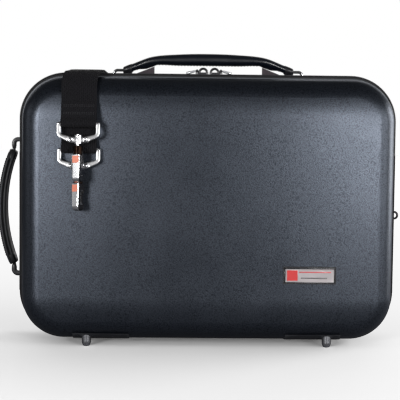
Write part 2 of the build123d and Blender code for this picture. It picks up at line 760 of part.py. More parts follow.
def inlay(bar, turn, extra):
    """A plain coloured plate in the hook's spine."""
    top = -(hook_start + extra) - inlay_drop
    width, height = inlay_size
    plate = Pos(0, -hook_depth / 2 + inlay_thickness / 2, top - height / 2) * Box(
        width - 0.2, inlay_thickness, height - 0.2)
    return hook_place(bar, turn) * fillet(plate.edges().filter_by(Axis.Y), 0.8)


# ---------------------------------------------------------------- linings
def lid_lining():
    """Padding that follows the inside of the lid."""
    outside = wall + 0.3
    return shell_form(True, outside) - shell_form(True, outside + lining_thickness)


def trough(x, length, z, width, depth):
    """A pocket with a half-round floor, along X."""
    axis_depth = tray_face + depth - width / 2
    walls = block((x, tray_face - 1, z - width / 2), (x + length, axis_depth, z + width / 2))
    return walls + rod((x, axis_depth, z), (x + length, axis_depth, z), width / 2)


def bell_trough(z):
    """A pocket that widens from the bell's throat to its mouth."""
    length, mouth, throat_width, depth = bell_pocket
    axis_depth = depth - mouth / 2
    ends = []
    for x, width in ((bell_left, throat_width), (bell_left + length, mouth)):
        plane = Plane((x, tray_face, z), x_dir=(0, 0, 1), z_dir=(1, 0, 0))
        half = width / 2
        profile = make_face([Line((-half, 1), (half, 1)), Line((half, 1), (half, -axis_depth)),
                             ThreePointArc((half, -axis_depth), (0, -axis_depth - half),
                                           (-half, -axis_depth)),
                             Line((-half, -axis_depth), (-half, 1))])
        ends.append(plane * profile)
    return loft(ends, ruled=True)


def tray_block(left, right, low, high, pockets):
    """One plush-covered block of the tray, cut to its share of the shell, with its pockets."""
    outside = wall + 0.3
    body = shell_form(False, outside)
    lip = outline(rim_half_gap + 1, -outside - 0.6, -outside - 0.6, -outside - 0.6,
                  corner_radius - outside)
    body += extrude(lip, rim_half_gap + 1 - tray_face)
    share = block((left + block_gap, 0, low + block_gap), (right - block_gap, base_face, high))
    body = body & share
    for pocket in pockets:
        body -= pocket
    return body


def joint_block():
    """Four slots for the upper and lower joints of two clarinets."""
    slots = []
    for row in range(4):
        length = lower_joint if row % 2 else upper_joint
        slots.append(trough(joint_right - length, length, top_slot_height - row * joint_pitch,
                            joint_slot, joint_slot_depth))
    return tray_block(-half_width, block_seam, left_level, shell_top, slots)


def bell_block():
    """Two tapered pockets for the bells."""
    pockets = [bell_trough(z) for z in bell_heights]
    return tray_block(block_seam, half_width, right_level, shell_top, pockets)


def barrel_block():
    """Pockets for two pairs of barrels, and the accessory box."""
    length, width, depth = barrel_pocket
    pockets = [trough(x, length, lower_row, width, depth) for x in barrel_lefts]
    length, width, depth = box_pocket
    pockets.append(block((box_left, tray_face - 1, lower_row - width / 2),
                         (box_left + length, tray_face + depth, lower_row + width / 2)))
    return tray_block(-half_width, block_seam, 0, left_level, pockets)


def mouthpiece_block():
    """Two pockets for capped mouthpieces."""
    length, width, depth = mouthpiece_pocket
    pockets = [trough(mouthpiece_left, length, z, width, depth) for z in mouthpiece_heights]
    return tray_block(block_seam, half_width, 0, right_level, pockets)


def flap_axis():
    """Where the accessory flap's hinge runs: depth and height."""
    top = lower_row + box_pocket[1] / 2 + flap_margin
    return tray_face - fit_gap - flap_barrel, top + flap_barrel


def box_flap():
    """The lid of the accessory box, hung along its upper edge, with a finger notch below."""
    y, z = flap_axis()
    left, right = box_left - flap_margin, box_left + box_pocket[0] + flap_margin
    low = lower_row - box_pocket[1] / 2 - flap_margin
    back = tray_face - fit_gap
    plate = block((left, back - flap_thickness, low),
                  (right, back, z - flap_barrel - fit_gap))
    plate = fillet(plate.edges().filter_by(Axis.Y).group_by(Axis.Z)[0], 4.0)
    notch = Pos((left + right) / 2, back, low) * Rot(90, 0, 0) * Cylinder(7.0, 4 * flap_thickness)
    barrel = rod((left + 8, y, z), (right - 8, y, z), flap_barrel)
    web = block((left + 8, back - flap_thickness, z - flap_barrel - 1), (right - 8, y + 0.8, z))
    flap = plate - notch + barrel + web
    return flap - rod((left, y, z), (right, y, z), flap_pin + running_clearance)


def flap_hinge():
    """Two lugs on the tray and the pin that the flap turns on."""
    y, z = flap_axis()
    left, right = box_left - flap_margin, box_left + box_pocket[0] + flap_margin
    piece = rod((left + 2, y, z), (right - 2, y, z), flap_pin)
    for x in (left + 2, right - 7.5):
        piece += block((x, y, z - flap_barrel), (x + 5.5, tray_face, z + flap_barrel))
        piece += rod((x, y, z), (x + 5.5, y, z), flap_barrel)
    return piece


def hinge_strip():
    """The cloth strip that closes the case behind the hinges and below the zip's ends."""
    reach = rim_half_gap - bead_lap - tape_thickness
    ring = band(-reach + 0.7, reach, (-0.4, -0.4, -1.4), (-1.2, -1.2, -2.2))
    return ring & block((-case_width, -reach, 0), (case_width, reach, zip_end_height + 8))


# ---------------------------------------------------------------- the whole case
left_reach = half_width + side_pivot_stand + side_handle_bow + side_handle_thickness / 2
right_reach = ring_pivot + ring_reach + ring_wire
hook_line = radians(frame_tilt)
front_reach = (-strap_back + outer_bar[0] + hook_end * sin(hook_line)
               + hook_depth / 2 * cos(hook_line))
back_reach = base_face + 0.8 + 2 * strap_thickness + strap_ply_gap
footprint = Pos((left_reach - right_reach) / 2, (front_reach - back_reach) / 2, 0)

outer = (outer_bar, outer_turn, 0)
inner = (inner_bar, inner_turn, inner_hook_extra)

pieces = {
    "rear_shell": rear_shell,
    "rear_bead": lambda: bead(False),
    "rear_zip_tape": lambda: tape(False),
    "rear_zip_chain": lambda: chain(False),
    "joint_block": joint_block,
    "bell_block": bell_block,
    "barrel_block": barrel_block,
    "mouthpiece_block": mouthpiece_block,
    "hinge_strip": hinge_strip,
    "rear_hinge_leaves": lambda: group([hinge_leaf(False, s * hinge_centre) for s in (-1, 1)]),
    "hinge_pins": lambda: group([hinge_pin(s * hinge_centre) for s in (-1, 1)]),
    "rear_feet": lambda: group([foot(False, s * foot_centre) for s in (-1, 1)]),
    "handle_posts": lambda: group(both(top_post())),
    "handle_plates": lambda: group(both(top_plate())),
    "handle_risers": lambda: group(both(riser())),
    "side_handle_posts": lambda: group([side_post(s) for s in (-1, 1)]),
    "side_handle_plates": lambda: group([side_plate(s) for s in (-1, 1)]),
    "ring_clip": ring_clip,
    "flap_hinge": flap_hinge,
    "front_shell": front_shell,
    "lid_bead": lambda: bead(True),
    "lid_zip_tape": lambda: tape(True),
    "lid_zip_chain": lambda: chain(True),
    "lid_lining": lid_lining,
    "lid_hinge_leaves": lambda: group([hinge_leaf(True, s * hinge_centre) for s in (-1, 1)]),
    "lid_feet": lambda: group([foot(True, s * foot_centre) for s in (-1, 1)]),
    "badge_bezel": badge_bezel,
    "badge_plate": badge_plate,
    "strap_inner_layer": inner_strap,
    "strap_outer_layer": outer_strap,
    "strap_rear_loop": rear_strap,
    "top_handle": top_handle,
    "side_handle": side_handle,
    "strap_ring": strap_ring,
    "box_flap": box_flap,
    "left_slider": lambda: slider(-1),
    "left_pull": lambda: pull(-1),
    "right_slider": lambda: slider(1),
    "right_pull": lambda: pull(1),
    "outer_frame": lambda: strap_frame(outer_bar),
    "outer_hook": lambda: hook(*outer),
    "outer_collar": lambda: collar(*outer),
    "outer_hook_inlay": lambda: inlay(*outer),
    "outer_gate": lambda: gate(*outer),
    "inner_frame": lambda: strap_frame(inner_bar),
    "inner_hook": lambda: hook(*inner),
    "inner_collar": lambda: collar(*inner),
    "inner_hook_inlay": lambda: inlay(*inner),
    "inner_gate": lambda: gate(*inner),
}


def main():
    os.makedirs("parts", exist_ok=True)
    for name, make in pieces.items():
        piece = footprint * make()
        piece.label = name
        export_step(piece, os.path.join("parts", name + ".step"))
    print("joint places", joint_places())


def joint_places():
    """A point on each joint's axis, for the record that goes with the model."""
    shift = footprint.position
    bars = {"outer": outer_bar, "inner": inner_bar}
    places = {"lid": (0, 0, hinge_height), "top_handle": (0, handle_inset, handle_pivot),
              "side_handle": (side_pivot, handle_inset, side_handle_middle),
              "strap_ring": (ring_pivot, handle_inset, ring_level),
              "box_flap": (box_left, *flap_axis())}
    for name, side in (("left_pull", -1), ("right_pull", 1)):
        x, z = pull_pivot(side)
        places[name] = (x, 0, z)
    for name, bar in bars.items():
        places[name + "_frame"] = (strap_middle, strap_back - bar[0], bar[1])
    for name, (bar, turn, extra) in (("outer_gate", outer), ("inner_gate", inner)):
        places[name] = tuple((hook_place(bar, turn) * Pos(0, *gate_seat(extra))).position)
    return {n: tuple(round(v + s, 3) for v, s in zip(p, shift)) for n, p in places.items()}


if __name__ == "__main__":
    main()
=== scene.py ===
# %% [markdown]
# # A zippered clarinet case, dressed for the studio
# The case is a pair of moulded shells that a zip closes on three sides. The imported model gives
# every piece its place and its motion. These cells add what a maker would call the finish:
# grained plastic, woven webbing, padded grips, plush, stitching and polished metal.
# The frame is loaded first, because every later piece is placed from it.

# %% Load the frame
import bpy
import json
import math
from mathutils import Matrix, Vector


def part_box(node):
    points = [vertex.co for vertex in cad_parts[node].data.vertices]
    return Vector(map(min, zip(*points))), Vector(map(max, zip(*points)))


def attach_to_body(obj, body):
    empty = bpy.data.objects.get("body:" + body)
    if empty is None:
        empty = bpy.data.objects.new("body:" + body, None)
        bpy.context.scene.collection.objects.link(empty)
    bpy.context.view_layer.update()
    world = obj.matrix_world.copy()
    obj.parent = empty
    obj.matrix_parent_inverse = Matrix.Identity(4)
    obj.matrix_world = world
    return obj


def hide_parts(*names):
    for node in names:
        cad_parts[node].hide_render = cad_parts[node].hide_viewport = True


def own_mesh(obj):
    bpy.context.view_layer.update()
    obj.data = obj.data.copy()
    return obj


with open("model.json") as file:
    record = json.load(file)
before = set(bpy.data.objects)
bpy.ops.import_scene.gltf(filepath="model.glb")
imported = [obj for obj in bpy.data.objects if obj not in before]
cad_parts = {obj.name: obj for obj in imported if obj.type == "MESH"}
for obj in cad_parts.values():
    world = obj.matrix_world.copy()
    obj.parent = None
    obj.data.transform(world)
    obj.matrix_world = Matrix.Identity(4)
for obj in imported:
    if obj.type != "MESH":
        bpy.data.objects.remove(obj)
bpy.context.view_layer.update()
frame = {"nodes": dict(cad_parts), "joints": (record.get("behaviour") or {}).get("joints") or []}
MM = 0.001

# %% [markdown]
# ## Where things are
# The shells tell where the middle of the case, its rims and its back are. The joints tell where
# the handles, bars and pulls turn. All of this could be typed in as numbers. Reading it from the
# frame keeps every soft piece in step with the model, and nothing is measured twice.

# %% Places read from the frame
lid_corners, base_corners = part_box("front_shell"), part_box("rear_shell")
MIDDLE_X = (lid_corners[0].x + lid_corners[1].x) / 2
PARTING_Y = (lid_corners[1].y + base_corners[0].y) / 2
joints = {j["name"]: j for j in frame["joints"]}


def case_point(x, y, z):
    """A point in millimetres from the case's middle, its parting plane and the floor."""
    return Vector((MIDDLE_X + x * MM, PARTING_Y + y * MM, z * MM))


def in_case(place):
    """A place of the frame, in the millimetres that case_point takes."""
    return (Vector(place) - case_point(0, 0, 0)) / MM


def case_box(node):
    """A node's lowest and highest corners, in the same millimetres."""
    return [in_case(corner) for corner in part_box(node)]


def pivot(joint):
    """The point that a joint turns about, in the same millimetres."""
    return in_case(joints[joint]["pos_m"])


lid_low, lid_high = case_box("front_shell")
base_low, base_high = case_box("rear_shell")
HALF_WIDTH = (lid_high.x - lid_low.x) / 2
RIM_GAP = base_low.y - lid_high.y
SHELL_TOP, SHELL_BOTTOM = lid_high.z, lid_low.z
BASE_FACE = base_high.y
print("middle", round(MIDDLE_X / MM, 2), "parting", round(PARTING_Y / MM, 2))

# %% [markdown]
# ## Camera
# A picture for a catalogue shows the case nearly straight on. A short lens close by would show
# more of the sides and bend them. A long lens about a metre and a half away keeps them nearly
# parallel, and it looks slightly down at the lid.

# %% Camera
TARGET = case_point(0, 0, 150)
DISTANCE = 1.400
PITCH, YAW, ROLL = (math.radians(a) for a in (4.28, 1.55, 0.66))
LENS = 115.0
CENTRE_PIXEL = (207.4, 205.4)             # where the target falls in the frame
FRAME_PIXELS = 400

camera_data = bpy.data.cameras.new("catalogue_lens")
camera = bpy.data.objects.new("catalogue_camera", camera_data)
bpy.context.scene.collection.objects.link(camera)
forward = Vector((math.sin(YAW) * math.cos(PITCH), math.cos(YAW) * math.cos(PITCH), -math.sin(PITCH)))
camera.location = TARGET - DISTANCE * forward
camera.rotation_mode = "QUATERNION"
level = forward.to_track_quat("-Z", "Y")
camera.rotation_quaternion = Matrix.Rotation(-ROLL, 4, forward).to_quaternion() @ level
camera_data.lens = LENS
camera_data.shift_x = -(CENTRE_PIXEL[0] / FRAME_PIXELS - 0.5)
camera_data.shift_y = CENTRE_PIXEL[1] / FRAME_PIXELS - 0.5
bpy.context.scene.camera = camera
bpy.context.scene.view_settings.view_transform = "Standard"
print("camera at mm", [round(c / MM) for c in camera.location])

# %% [markdown]
# ## Helpers for nodes
# A world and a material are both trees of nodes. A node could be placed and wired by hand each
# time. Four small functions do it instead, so that the cells below read like the sums they are.

# %% Helpers for nodes
def plug(tree, value, socket):
    """Puts a plain number or colour on a socket, or links another node's output to it."""
    if isinstance(value, bpy.types.NodeSocket):
        tree.links.new(value, socket)
    elif isinstance(value, tuple):
        socket.default_value = (*value, 1)
    else:
        socket.default_value = value


def maths(tree, operation, *values):
    """A maths node on outputs or plain numbers; returns its own output."""
    node = tree.nodes.new("ShaderNodeMath")
    node.operation = operation
    for socket, value in zip(node.inputs, values):
        plug(tree, value, socket)
    return node.outputs[0]


def clamped(tree, value, low=0.0, high=1.0):
    """The value, held between two limits."""
    return maths(tree, "MINIMUM", maths(tree, "MAXIMUM", value, low), high)


def axes_of(tree, source="Object"):
    """The x, y and z of one of the surface's coordinates, as separate numbers."""
    where = tree.nodes.new("ShaderNodeTexCoord")
    axes = tree.nodes.new("ShaderNodeSeparateXYZ")
    tree.links.new(where.outputs[source], axes.inputs[0])
    return axes.outputs


# %% [markdown]
# ## Studio
# White paper stands behind the case, and its polished metal mirrors it. The whole surround could
# be white, but then the black shell would look grey. So the world is white only for what the
# camera sees directly and for reflections of the paper, and a dim room elsewhere.
# Two soft boxes in front, one to each side, lay the broad glow on the lid. Weaker panels further
# round light the rims, the handles and the ends. The floor keeps the case's shadow and lets the
# white through.

# %% Studio
ROOM_LEVEL = 0.05                         # the unlit room, as a polished face shows it
AMBIENT = 0.35                            # the room's own light on matt faces
PAPER_RISE = (0.35, 0.55)                 # the paper behind fades out between these heights
PAPER_WIDTH, PAPER_EDGE = 0.62, 0.20      # and over the last part of its width to each side
PAPER_START = 3.0                         # how fast it comes up past the case's own plane
FLOOR_REACH = 6.0
LAMPS = {                                 # degrees aside and up, metres away, size, watts
    "left_softbox": (-30, 7, 2.2, (0.5, 0.6), 24),
    "right_softbox": (27, 7, 2.2, (0.5, 0.6), 20.5),
    "left_panel": (-85, 12, 1.8, (0.8, 1.0), 1.5),
    "right_panel": (62, 10, 1.8, (1.1, 1.0), 11),
    "right_edge": (112, 10, 1.8, (1.0, 1.0), 17),
}


def build_world():
    """White paper behind the case, for the eye and for the metal, and a dim room elsewhere."""
    world = bpy.data.worlds.new("studio_surround")
    world.use_nodes = True
    tree = world.node_tree
    tree.nodes.clear()
    aside, back, up = axes_of(tree, "Generated")
    behind = maths(tree, "MULTIPLY", back, PAPER_START)
    below_top = maths(tree, "DIVIDE", maths(tree, "SUBTRACT", PAPER_RISE[1], up),
                      PAPER_RISE[1] - PAPER_RISE[0])
    within = maths(tree, "MULTIPLY_ADD", maths(tree, "ABSOLUTE", aside), -1 / PAPER_EDGE,
                   PAPER_WIDTH / PAPER_EDGE)
    paper = maths(tree, "MINIMUM", maths(tree, "MINIMUM", behind, below_top), within)
    paper = clamped(tree, paper, ROOM_LEVEL)
    rays = tree.nodes.new("ShaderNodeLightPath").outputs
    soft = maths(tree, "MULTIPLY", rays["Is Diffuse Ray"], AMBIENT)
    strength = maths(tree, "MAXIMUM", rays["Is Camera Ray"], maths(tree, "MAXIMUM", paper, soft))
    background = tree.nodes.new("ShaderNodeBackground")
    background.inputs["Color"].default_value = (1, 1, 1, 1)
    tree.links.new(strength, background.inputs["Strength"])
    out = tree.nodes.new("ShaderNodeOutputWorld")
    tree.links.new(background.outputs[0], out.inputs[0])
    bpy.context.scene.world = world


def add_lamp(name, azimuth, elevation, distance, size, power):
    """A soft rectangular lamp, placed by its angles from straight ahead of the lid."""
    data = bpy.data.lights.new(name, "AREA")
    data.shape = "RECTANGLE"
    data.size, data.size_y = size
    data.energy = power
    lamp = bpy.data.objects.new(name, data)
    turn, rise = math.radians(azimuth), math.radians(elevation)
    toward = Vector((math.sin(turn) * math.cos(rise), -math.cos(turn) * math.cos(rise), math.sin(rise)))
    lamp.location = TARGET + distance * toward
    lamp.rotation_mode = "QUATERNION"
    lamp.rotation_quaternion = toward.to_track_quat("Z", "Y")
    bpy.context.scene.collection.objects.link(lamp)


def build_floor():
    """A large plain floor under the feet that takes the case's shadow."""
    data = bpy.data.meshes.new("floor")
    corners = [(x * FLOOR_REACH, y * FLOOR_REACH, 0) for x, y in ((-1, -1), (1, -1), (1, 1), (-1, 1))]
    data.from_pydata(corners, [], [(0, 1, 2, 3)])
    floor = bpy.data.objects.new("floor", data)
    material = bpy.data.materials.new("floor_paper")
    material.use_nodes = True
    shader = material.node_tree.nodes["Principled BSDF"]
    shader.inputs["Base Color"].default_value = (0.15, 0.15, 0.16, 1)
    shader.inputs["Roughness"].default_value = 0.9
    data.materials.append(material)
    bpy.context.scene.collection.objects.link(floor)
    floor.is_shadow_catcher = True


build_world()
build_floor()
for name, settings in LAMPS.items():
    add_lamp(name, *settings)

# %% [markdown]
# ## Shared effects
# Grain, weave, pile, handling marks and edge wear turn up in several finishes. Pictures could
# carry them, but they would blur up close. Each is a shader node group instead, worked out by
# formula and built once. A group puts out only heights, masks and shades. The shader itself
# stays in each material, so every finish can set its own gloss.

# %% Shared effects
def start_group(name, inputs, outputs):
    """A node group with named numbers in (with defaults) and out, and its two ends."""
    group = bpy.data.node_groups.new(name, "ShaderNodeTree")
    for label, value in inputs.items():
        socket = group.interface.new_socket(label, in_out="INPUT", socket_type="NodeSocketFloat")
        socket.default_value = value
    for label in outputs:
        group.interface.new_socket(label, in_out="OUTPUT", socket_type="NodeSocketFloat")
    return group, group.nodes.new("NodeGroupInput").outputs, group.nodes.new("NodeGroupOutput").inputs


def noise_at(tree, scale, detail=2.0, rough=0.5, stretch=None):
    """Noise on the piece's own coordinates, optionally stretched; returns its value."""
    vector = tree.nodes.new("ShaderNodeTexCoord").outputs["Object"]
    if stretch:
        mapping = tree.nodes.new("ShaderNodeMapping")
        mapping.inputs["Scale"].default_value = stretch
        tree.links.new(vector, mapping.inputs["Vector"])
        vector = mapping.outputs[0]
    noise = tree.nodes.new("ShaderNodeTexNoise")
    for label, value in (("Vector", vector), ("Scale", scale), ("Detail", detail), ("Roughness", rough)):
        plug(tree, value, noise.inputs[label])
    return noise.outputs["Fac"]


def grain_group():
    """The pebbled grain of moulded plastic: small cells with soft valleys between them."""
    group, given, out = start_group("moulded_grain", {"Scale": 900.0}, ["Height", "Valley"])
    where = group.nodes.new("ShaderNodeTexCoord").outputs["Object"]
    cells = group.nodes.new("ShaderNodeTexVoronoi")
    cells.feature = "SMOOTH_F1"
    for label, value in (("Vector", where), ("Scale", given["Scale"]), ("Smoothness", 0.6)):
        plug(group, value, cells.inputs[label])
    cell = cells.outputs["Distance"]
    fine = noise_at(group, maths(group, "MULTIPLY", given["Scale"], 1.7), 3.0)
    height = maths(group, "SUBTRACT", maths(group, "MULTIPLY", fine, 0.5), cell)
    group.links.new(height, out["Height"])
    # Valley marks the grain's valleys, which the finishes paint darker as painted shade
    group.links.new(maths(group, "POWER", cell, 2.0), out["Valley"])
    return group


def handling_group():
    """Dust and touch marks: broad faint patches and thin specks."""
    group, given, out = start_group("handling_marks", {"Scale": 14.0}, ["Smudge", "Specks"])
    broad = noise_at(group, given["Scale"], 5.0, 0.62)
    group.links.new(maths(group, "SUBTRACT", broad, 0.5), out["Smudge"])
    dots = noise_at(group, maths(group, "MULTIPLY", given["Scale"], 60.0), 1.0)
    group.links.new(maths(group, "GREATER_THAN", dots, 0.72), out["Specks"])
    return group


def wear_group():
    """Edges that are rubbed: where the surface is sharply convex, broken up by noise."""
    group, given, out = start_group("edge_wear", {"Amount": 0.5, "Start": 0.53}, ["Mask"])
    shape = group.nodes.new("ShaderNodeNewGeometry").outputs["Pointiness"]
    sharp = maths(group, "MULTIPLY", maths(group, "SUBTRACT", shape, given["Start"]), 14.0)
    patchy = maths(group, "MULTIPLY", sharp, noise_at(group, 220.0, 4.0, 0.6))
    mask = clamped(group, maths(group, "MULTIPLY", patchy, given["Amount"]))
    group.links.new(mask, out["Mask"])
    return group


def weave_group():
    """Plain weave from two distances: threads that pass over and under each other."""
    inputs = {"Across": 0.0, "Along": 0.0, "Pitch": 0.8, "Rib": 1.0}
    group, given, out = start_group("plain_weave", inputs, ["Height", "Shade"])
    warp_phase = maths(group, "DIVIDE", given["Across"], given["Pitch"])
    weft_phase = maths(group, "DIVIDE", given["Along"], given["Pitch"])
    warp = maths(group, "COSINE", maths(group, "MULTIPLY", warp_phase, math.tau))
    checker = maths(group, "SINE", maths(group, "MULTIPLY", warp_phase, math.pi))
    weft = maths(group, "SINE", maths(group, "MULTIPLY", weft_phase, math.pi))
    crossing = maths(group, "MULTIPLY", checker, weft)
    height = maths(group, "MULTIPLY_ADD", crossing, 0.6, maths(group, "MULTIPLY", warp, given["Rib"]))
    fuzz = noise_at(group, 1800.0)
    group.links.new(maths(group, "MULTIPLY_ADD", fuzz, 0.5, height), out["Height"])
    group.links.new(maths(group, "MULTIPLY_ADD", height, 0.25, 0.5), out["Shade"])
    return group


def pile_group():
    """Short plush: fine tufts, and broad patches where a hand has brushed them."""
    group, given, out = start_group("plush_pile", {"Scale": 1400.0}, ["Height", "Brushed"])
    group.links.new(noise_at(group, given["Scale"], 3.0, 0.7), out["Height"])
    group.links.new(noise_at(group, 26.0, 3.0, 0.55), out["Brushed"])
    return group


effects = (grain_group(), handling_group(), wear_group(), weave_group(), pile_group())
groups = {effect.name: effect for effect in effects}
print("node groups", sorted(groups))

# %% [markdown]
# ## Finishes
# A finish is what the maker gives a piece: plating, lacquer, grain or pile. Each could be wired
# from nothing. They share one builder instead, because they all start from a Principled shader
# whose plain numbers (gloss, sheen, coat) are set on it, and mix two or three colours by the
# masks of the shared effects. Bump comes last, from heights in real millimetres.

# %% A material under construction
class Finish:
    """A material under construction: the shader, and short ways to place groups and mixes."""

    def __init__(self, name, **plain):
        self.material = bpy.data.materials.new(name)
        self.material.use_nodes = True
        self.tree = self.material.node_tree
        self.shader = self.tree.nodes["Principled BSDF"]
        for label, value in plain.items():
            self.set(label.replace("_", " ").title().replace("Ior", "IOR"), value)

    def set(self, label, value):
        """A plain value or another node's output on one of the shader's sockets."""
        plug(self.tree, value, self.shader.inputs[label])

    def group(self, name, **inputs):
        """Places a shared effect; returns what it puts out."""
        node = self.tree.nodes.new("ShaderNodeGroup")
        node.node_tree = groups[name]
        for label, value in inputs.items():
            plug(self.tree, value, node.inputs[label.title()])
        return node.outputs

    def mix(self, mask, first, second):
        """One colour where the mask is 0, the other where it is 1."""
        node = self.tree.nodes.new("ShaderNodeMix")
        node.data_type = "RGBA"
        for label, value in (("Factor", mask), ("A", first), ("B", second)):
            plug(self.tree, value, node.inputs[label])
        return node.outputs["Result"]

    def gloss(self, rough, spread, mask):
        """Roughness that varies about a middle value by a mask centred on nought."""
        self.set("Roughness", maths(self.tree, "MULTIPLY_ADD", mask, spread, rough))

    def handled(self, body, specks, rough, spread, scale):
        """Handling marks: specks in the colour and smudges in the gloss. Returns the smudges."""
        marks = self.group("handling_marks", scale=scale)
        self.set("Base Color", self.mix(marks["Specks"], body, specks))
        self.gloss(rough, spread, marks["Smudge"])
        return marks["Smudge"]

    def crown(self, radius, reach, drop):
        """How far a face bows back, in metres: a wide arch across, and shoulders above and below.

        radius is the arch's; the shoulders start reach from the rims and fall by drop. All three
        are in millimetres.
        """
        x, _, z = axes_of(self.tree)
        half = (SHELL_TOP - SHELL_BOTTOM) / 2 * MM
        aside = maths(self.tree, "SUBTRACT", x, MIDDLE_X)
        arch = maths(self.tree, "MULTIPLY", maths(self.tree, "POWER", aside, 2.0), -0.5 / (radius * MM))
        away = maths(self.tree, "ABSOLUTE", maths(self.tree, "SUBTRACT", z, SHELL_BOTTOM * MM + half))
        past = maths(self.tree, "MAXIMUM", maths(self.tree, "SUBTRACT", away, half - reach * MM), 0.0)
        fall = maths(self.tree, "MULTIPLY", maths(self.tree, "POWER", past, 2.0),
                     -drop / (reach ** 2 * MM))
        return maths(self.tree, "ADD", arch, fall)

    def bump(self, *layers):
        """Ends the finish: heights with their scale in millimetres, one bump after another."""
        normal = None
        for height, millimetres in layers:
            node = self.tree.nodes.new("ShaderNodeBump")
            node.inputs["Distance"].default_value = millimetres * MM
            self.tree.links.new(height, node.inputs["Height"])
            if normal is not None:
                self.tree.links.new(normal, node.inputs["Normal"])
            normal = node.outputs[0]
        self.set("Normal", normal)
        return self.material


def shade(colour, factor, lift=0.0):
    """The colour made darker or lighter, and lifted a little towards white."""
    return tuple(min(1.0, part * factor + lift) for part in colour)


# %% [markdown]
# ## Plastics and lacquers
# The shells are moulded with a pebbled grain that hides scratches, and their faces bow a little.
# The bow could be modelled, but it is so shallow that a bump shows it and leaves the mesh alone.
# The grain's valleys are painted darker and lose their shine, as painted shade in its hollows.
# The shader's specular level is one plain number, so Metallic takes the shine off them: a black
# metal mirrors almost nothing.

# %% Plastics and lacquers
GRAIN_TOP = 0.08                          # the grain keeps its full shine above this height


def grained_plastic(name, colour, rough, scale, depth, shine, dulled=0.0, crown=None, **plain):
    """Moulded plastic with a pebbled grain, rubbed a little lighter at its edges.

    depth is the grain's, in millimetres. dulled is how fast the shine goes below GRAIN_TOP, as painted
    shade in the valleys.
    crown is how the face bows: its radius, and its shoulders' reach and drop.
    """
    finish = Finish(name, roughness=rough, specular_ior_level=shine, **plain)
    grain = finish.group("moulded_grain", scale=scale)
    wear = finish.group("edge_wear", amount=0.5)
    # painted shade: the grain's valleys are darker
    body = finish.mix(grain["Valley"], colour, shade(colour, 0.6))
    body = finish.mix(wear["Mask"], body, shade(colour, 1.9, 0.01))
    finish.handled(body, shade(colour, 1.5), rough, 0.22, 14.0)
    # painted shade: Metallic takes the light off the grain's valleys
    if dulled:
        below = maths(finish.tree, "SUBTRACT", GRAIN_TOP, grain["Height"])
        finish.set("Metallic", clamped(finish.tree, maths(finish.tree, "MULTIPLY", below, dulled)))
    layers = [(grain["Height"], depth)]
    if crown:
        layers.insert(0, (finish.crown(*crown), 1 / MM))
    return finish.bump(*layers)


def lacquered(name, colour, rough, coat):
    """Smooth lacquer on metal or a smooth moulding, with bright chips at the edges."""
    finish = Finish(name, roughness=rough, coat_weight=coat, coat_roughness=0.12)
    smudge = finish.group("handling_marks", scale=40.0)["Smudge"]
    wear = finish.group("edge_wear", amount=0.8)
    finish.set("Base Color", finish.mix(wear["Mask"], colour, shade(colour, 2.0, 0.05)))
    finish.gloss(rough, 0.25, smudge)
    return finish.bump((smudge, 0.08))


def smoky(name, colour, rough):
    """Half-clear plastic."""
    finish = Finish(name, roughness=rough, transmission_weight=0.45, ior=1.49)
    smudge = finish.handled(colour, shade(colour, 0.8), rough, 0.15, 50.0)
    return finish.bump((smudge, 0.05))


# %% [markdown]
# ## Metals
# The castings, posts and feet are plated, and the badge is brushed. A perfect mirror would look
# like a hole in the picture. So the plating gets faint clouds and polishing lines. The hooks'
# right-hand faces, which look out into the dark of the room, are painted darker: painted shade.

# %% Metals
def polished(name, colour, rough, relief=1.0):
    """Plated metal: bright, with faint cloudiness and fine polishing lines in some relief."""
    finish = Finish(name, roughness=rough, metallic=1.0)
    lines = noise_at(finish.tree, 500.0, 2.0, 0.6, (1.0, 1.0, 0.04))
    smudge = finish.handled(colour, shade(colour, 0.7), rough, 0.2, 60.0)
    return finish.bump((lines, 0.006 * relief), (smudge, 0.04 * relief))


def painted_shade_to_right(name, colour, dark, rough):
    """Plated metal whose faces turned to +X are painted darker, as painted shade."""
    finish = Finish(name, metallic=1.0)
    to_right = axes_of(finish.tree, "Normal")[0]
    # painted shade: the faces turned to +X fade towards the given dark colour
    painted_shade = clamped(finish.tree, maths(finish.tree, "MULTIPLY_ADD", to_right, 5.0, -1.2))
    marks = finish.group("handling_marks", scale=60.0)
    plated = finish.mix(marks["Specks"], colour, shade(colour, 0.7))
    finish.set("Base Color", finish.mix(painted_shade, plated, dark))
    finish.gloss(rough, 0.2, marks["Smudge"])
    return finish.bump((marks["Smudge"], 0.008))


def brushed(name, colour, rough, stretch):
    """Metal brushed in one direction."""
    finish = Finish(name, roughness=rough, metallic=1.0)
    lines = noise_at(finish.tree, 900.0, 3.0, 0.7, stretch)
    finish.set("Base Color", finish.mix(lines, colour, shade(colour, 0.78)))
    finish.gloss(rough, 0.25, finish.group("handling_marks", scale=30.0)["Smudge"])
    return finish.bump((lines, 0.02))


# %% [markdown]
# ## Cloth, plush and covers
# Webbing and tapes are plain weave, the lining is short pile, and the grips have a soft rubbery
# cover. Real threads would be far too many to model, so the weave is a height and a shade. It
# needs to know how far across and along the cloth a place is: a sheet has a map for that, and a
# small fixed piece can use its own place in space.

# %% Cloth, plush and covers
def woven(name, colour, pitch, rib, depth, distances):
    """Woven cloth. distances is a function that gives (across, along) in millimetres."""
    finish = Finish(name, roughness=0.85, sheen_weight=0.02, sheen_roughness=0.45,
                    specular_ior_level=0.25)
    across, along = distances(finish.tree)
    weave = finish.group("plain_weave", across=across, along=along, pitch=pitch, rib=rib)
    threads = finish.mix(weave["Shade"], shade(colour, 0.45), shade(colour, 1.35))
    finish.handled(threads, shade(colour, 2.5), 0.85, 0.15, 30.0)
    return finish.bump((weave["Height"], depth))


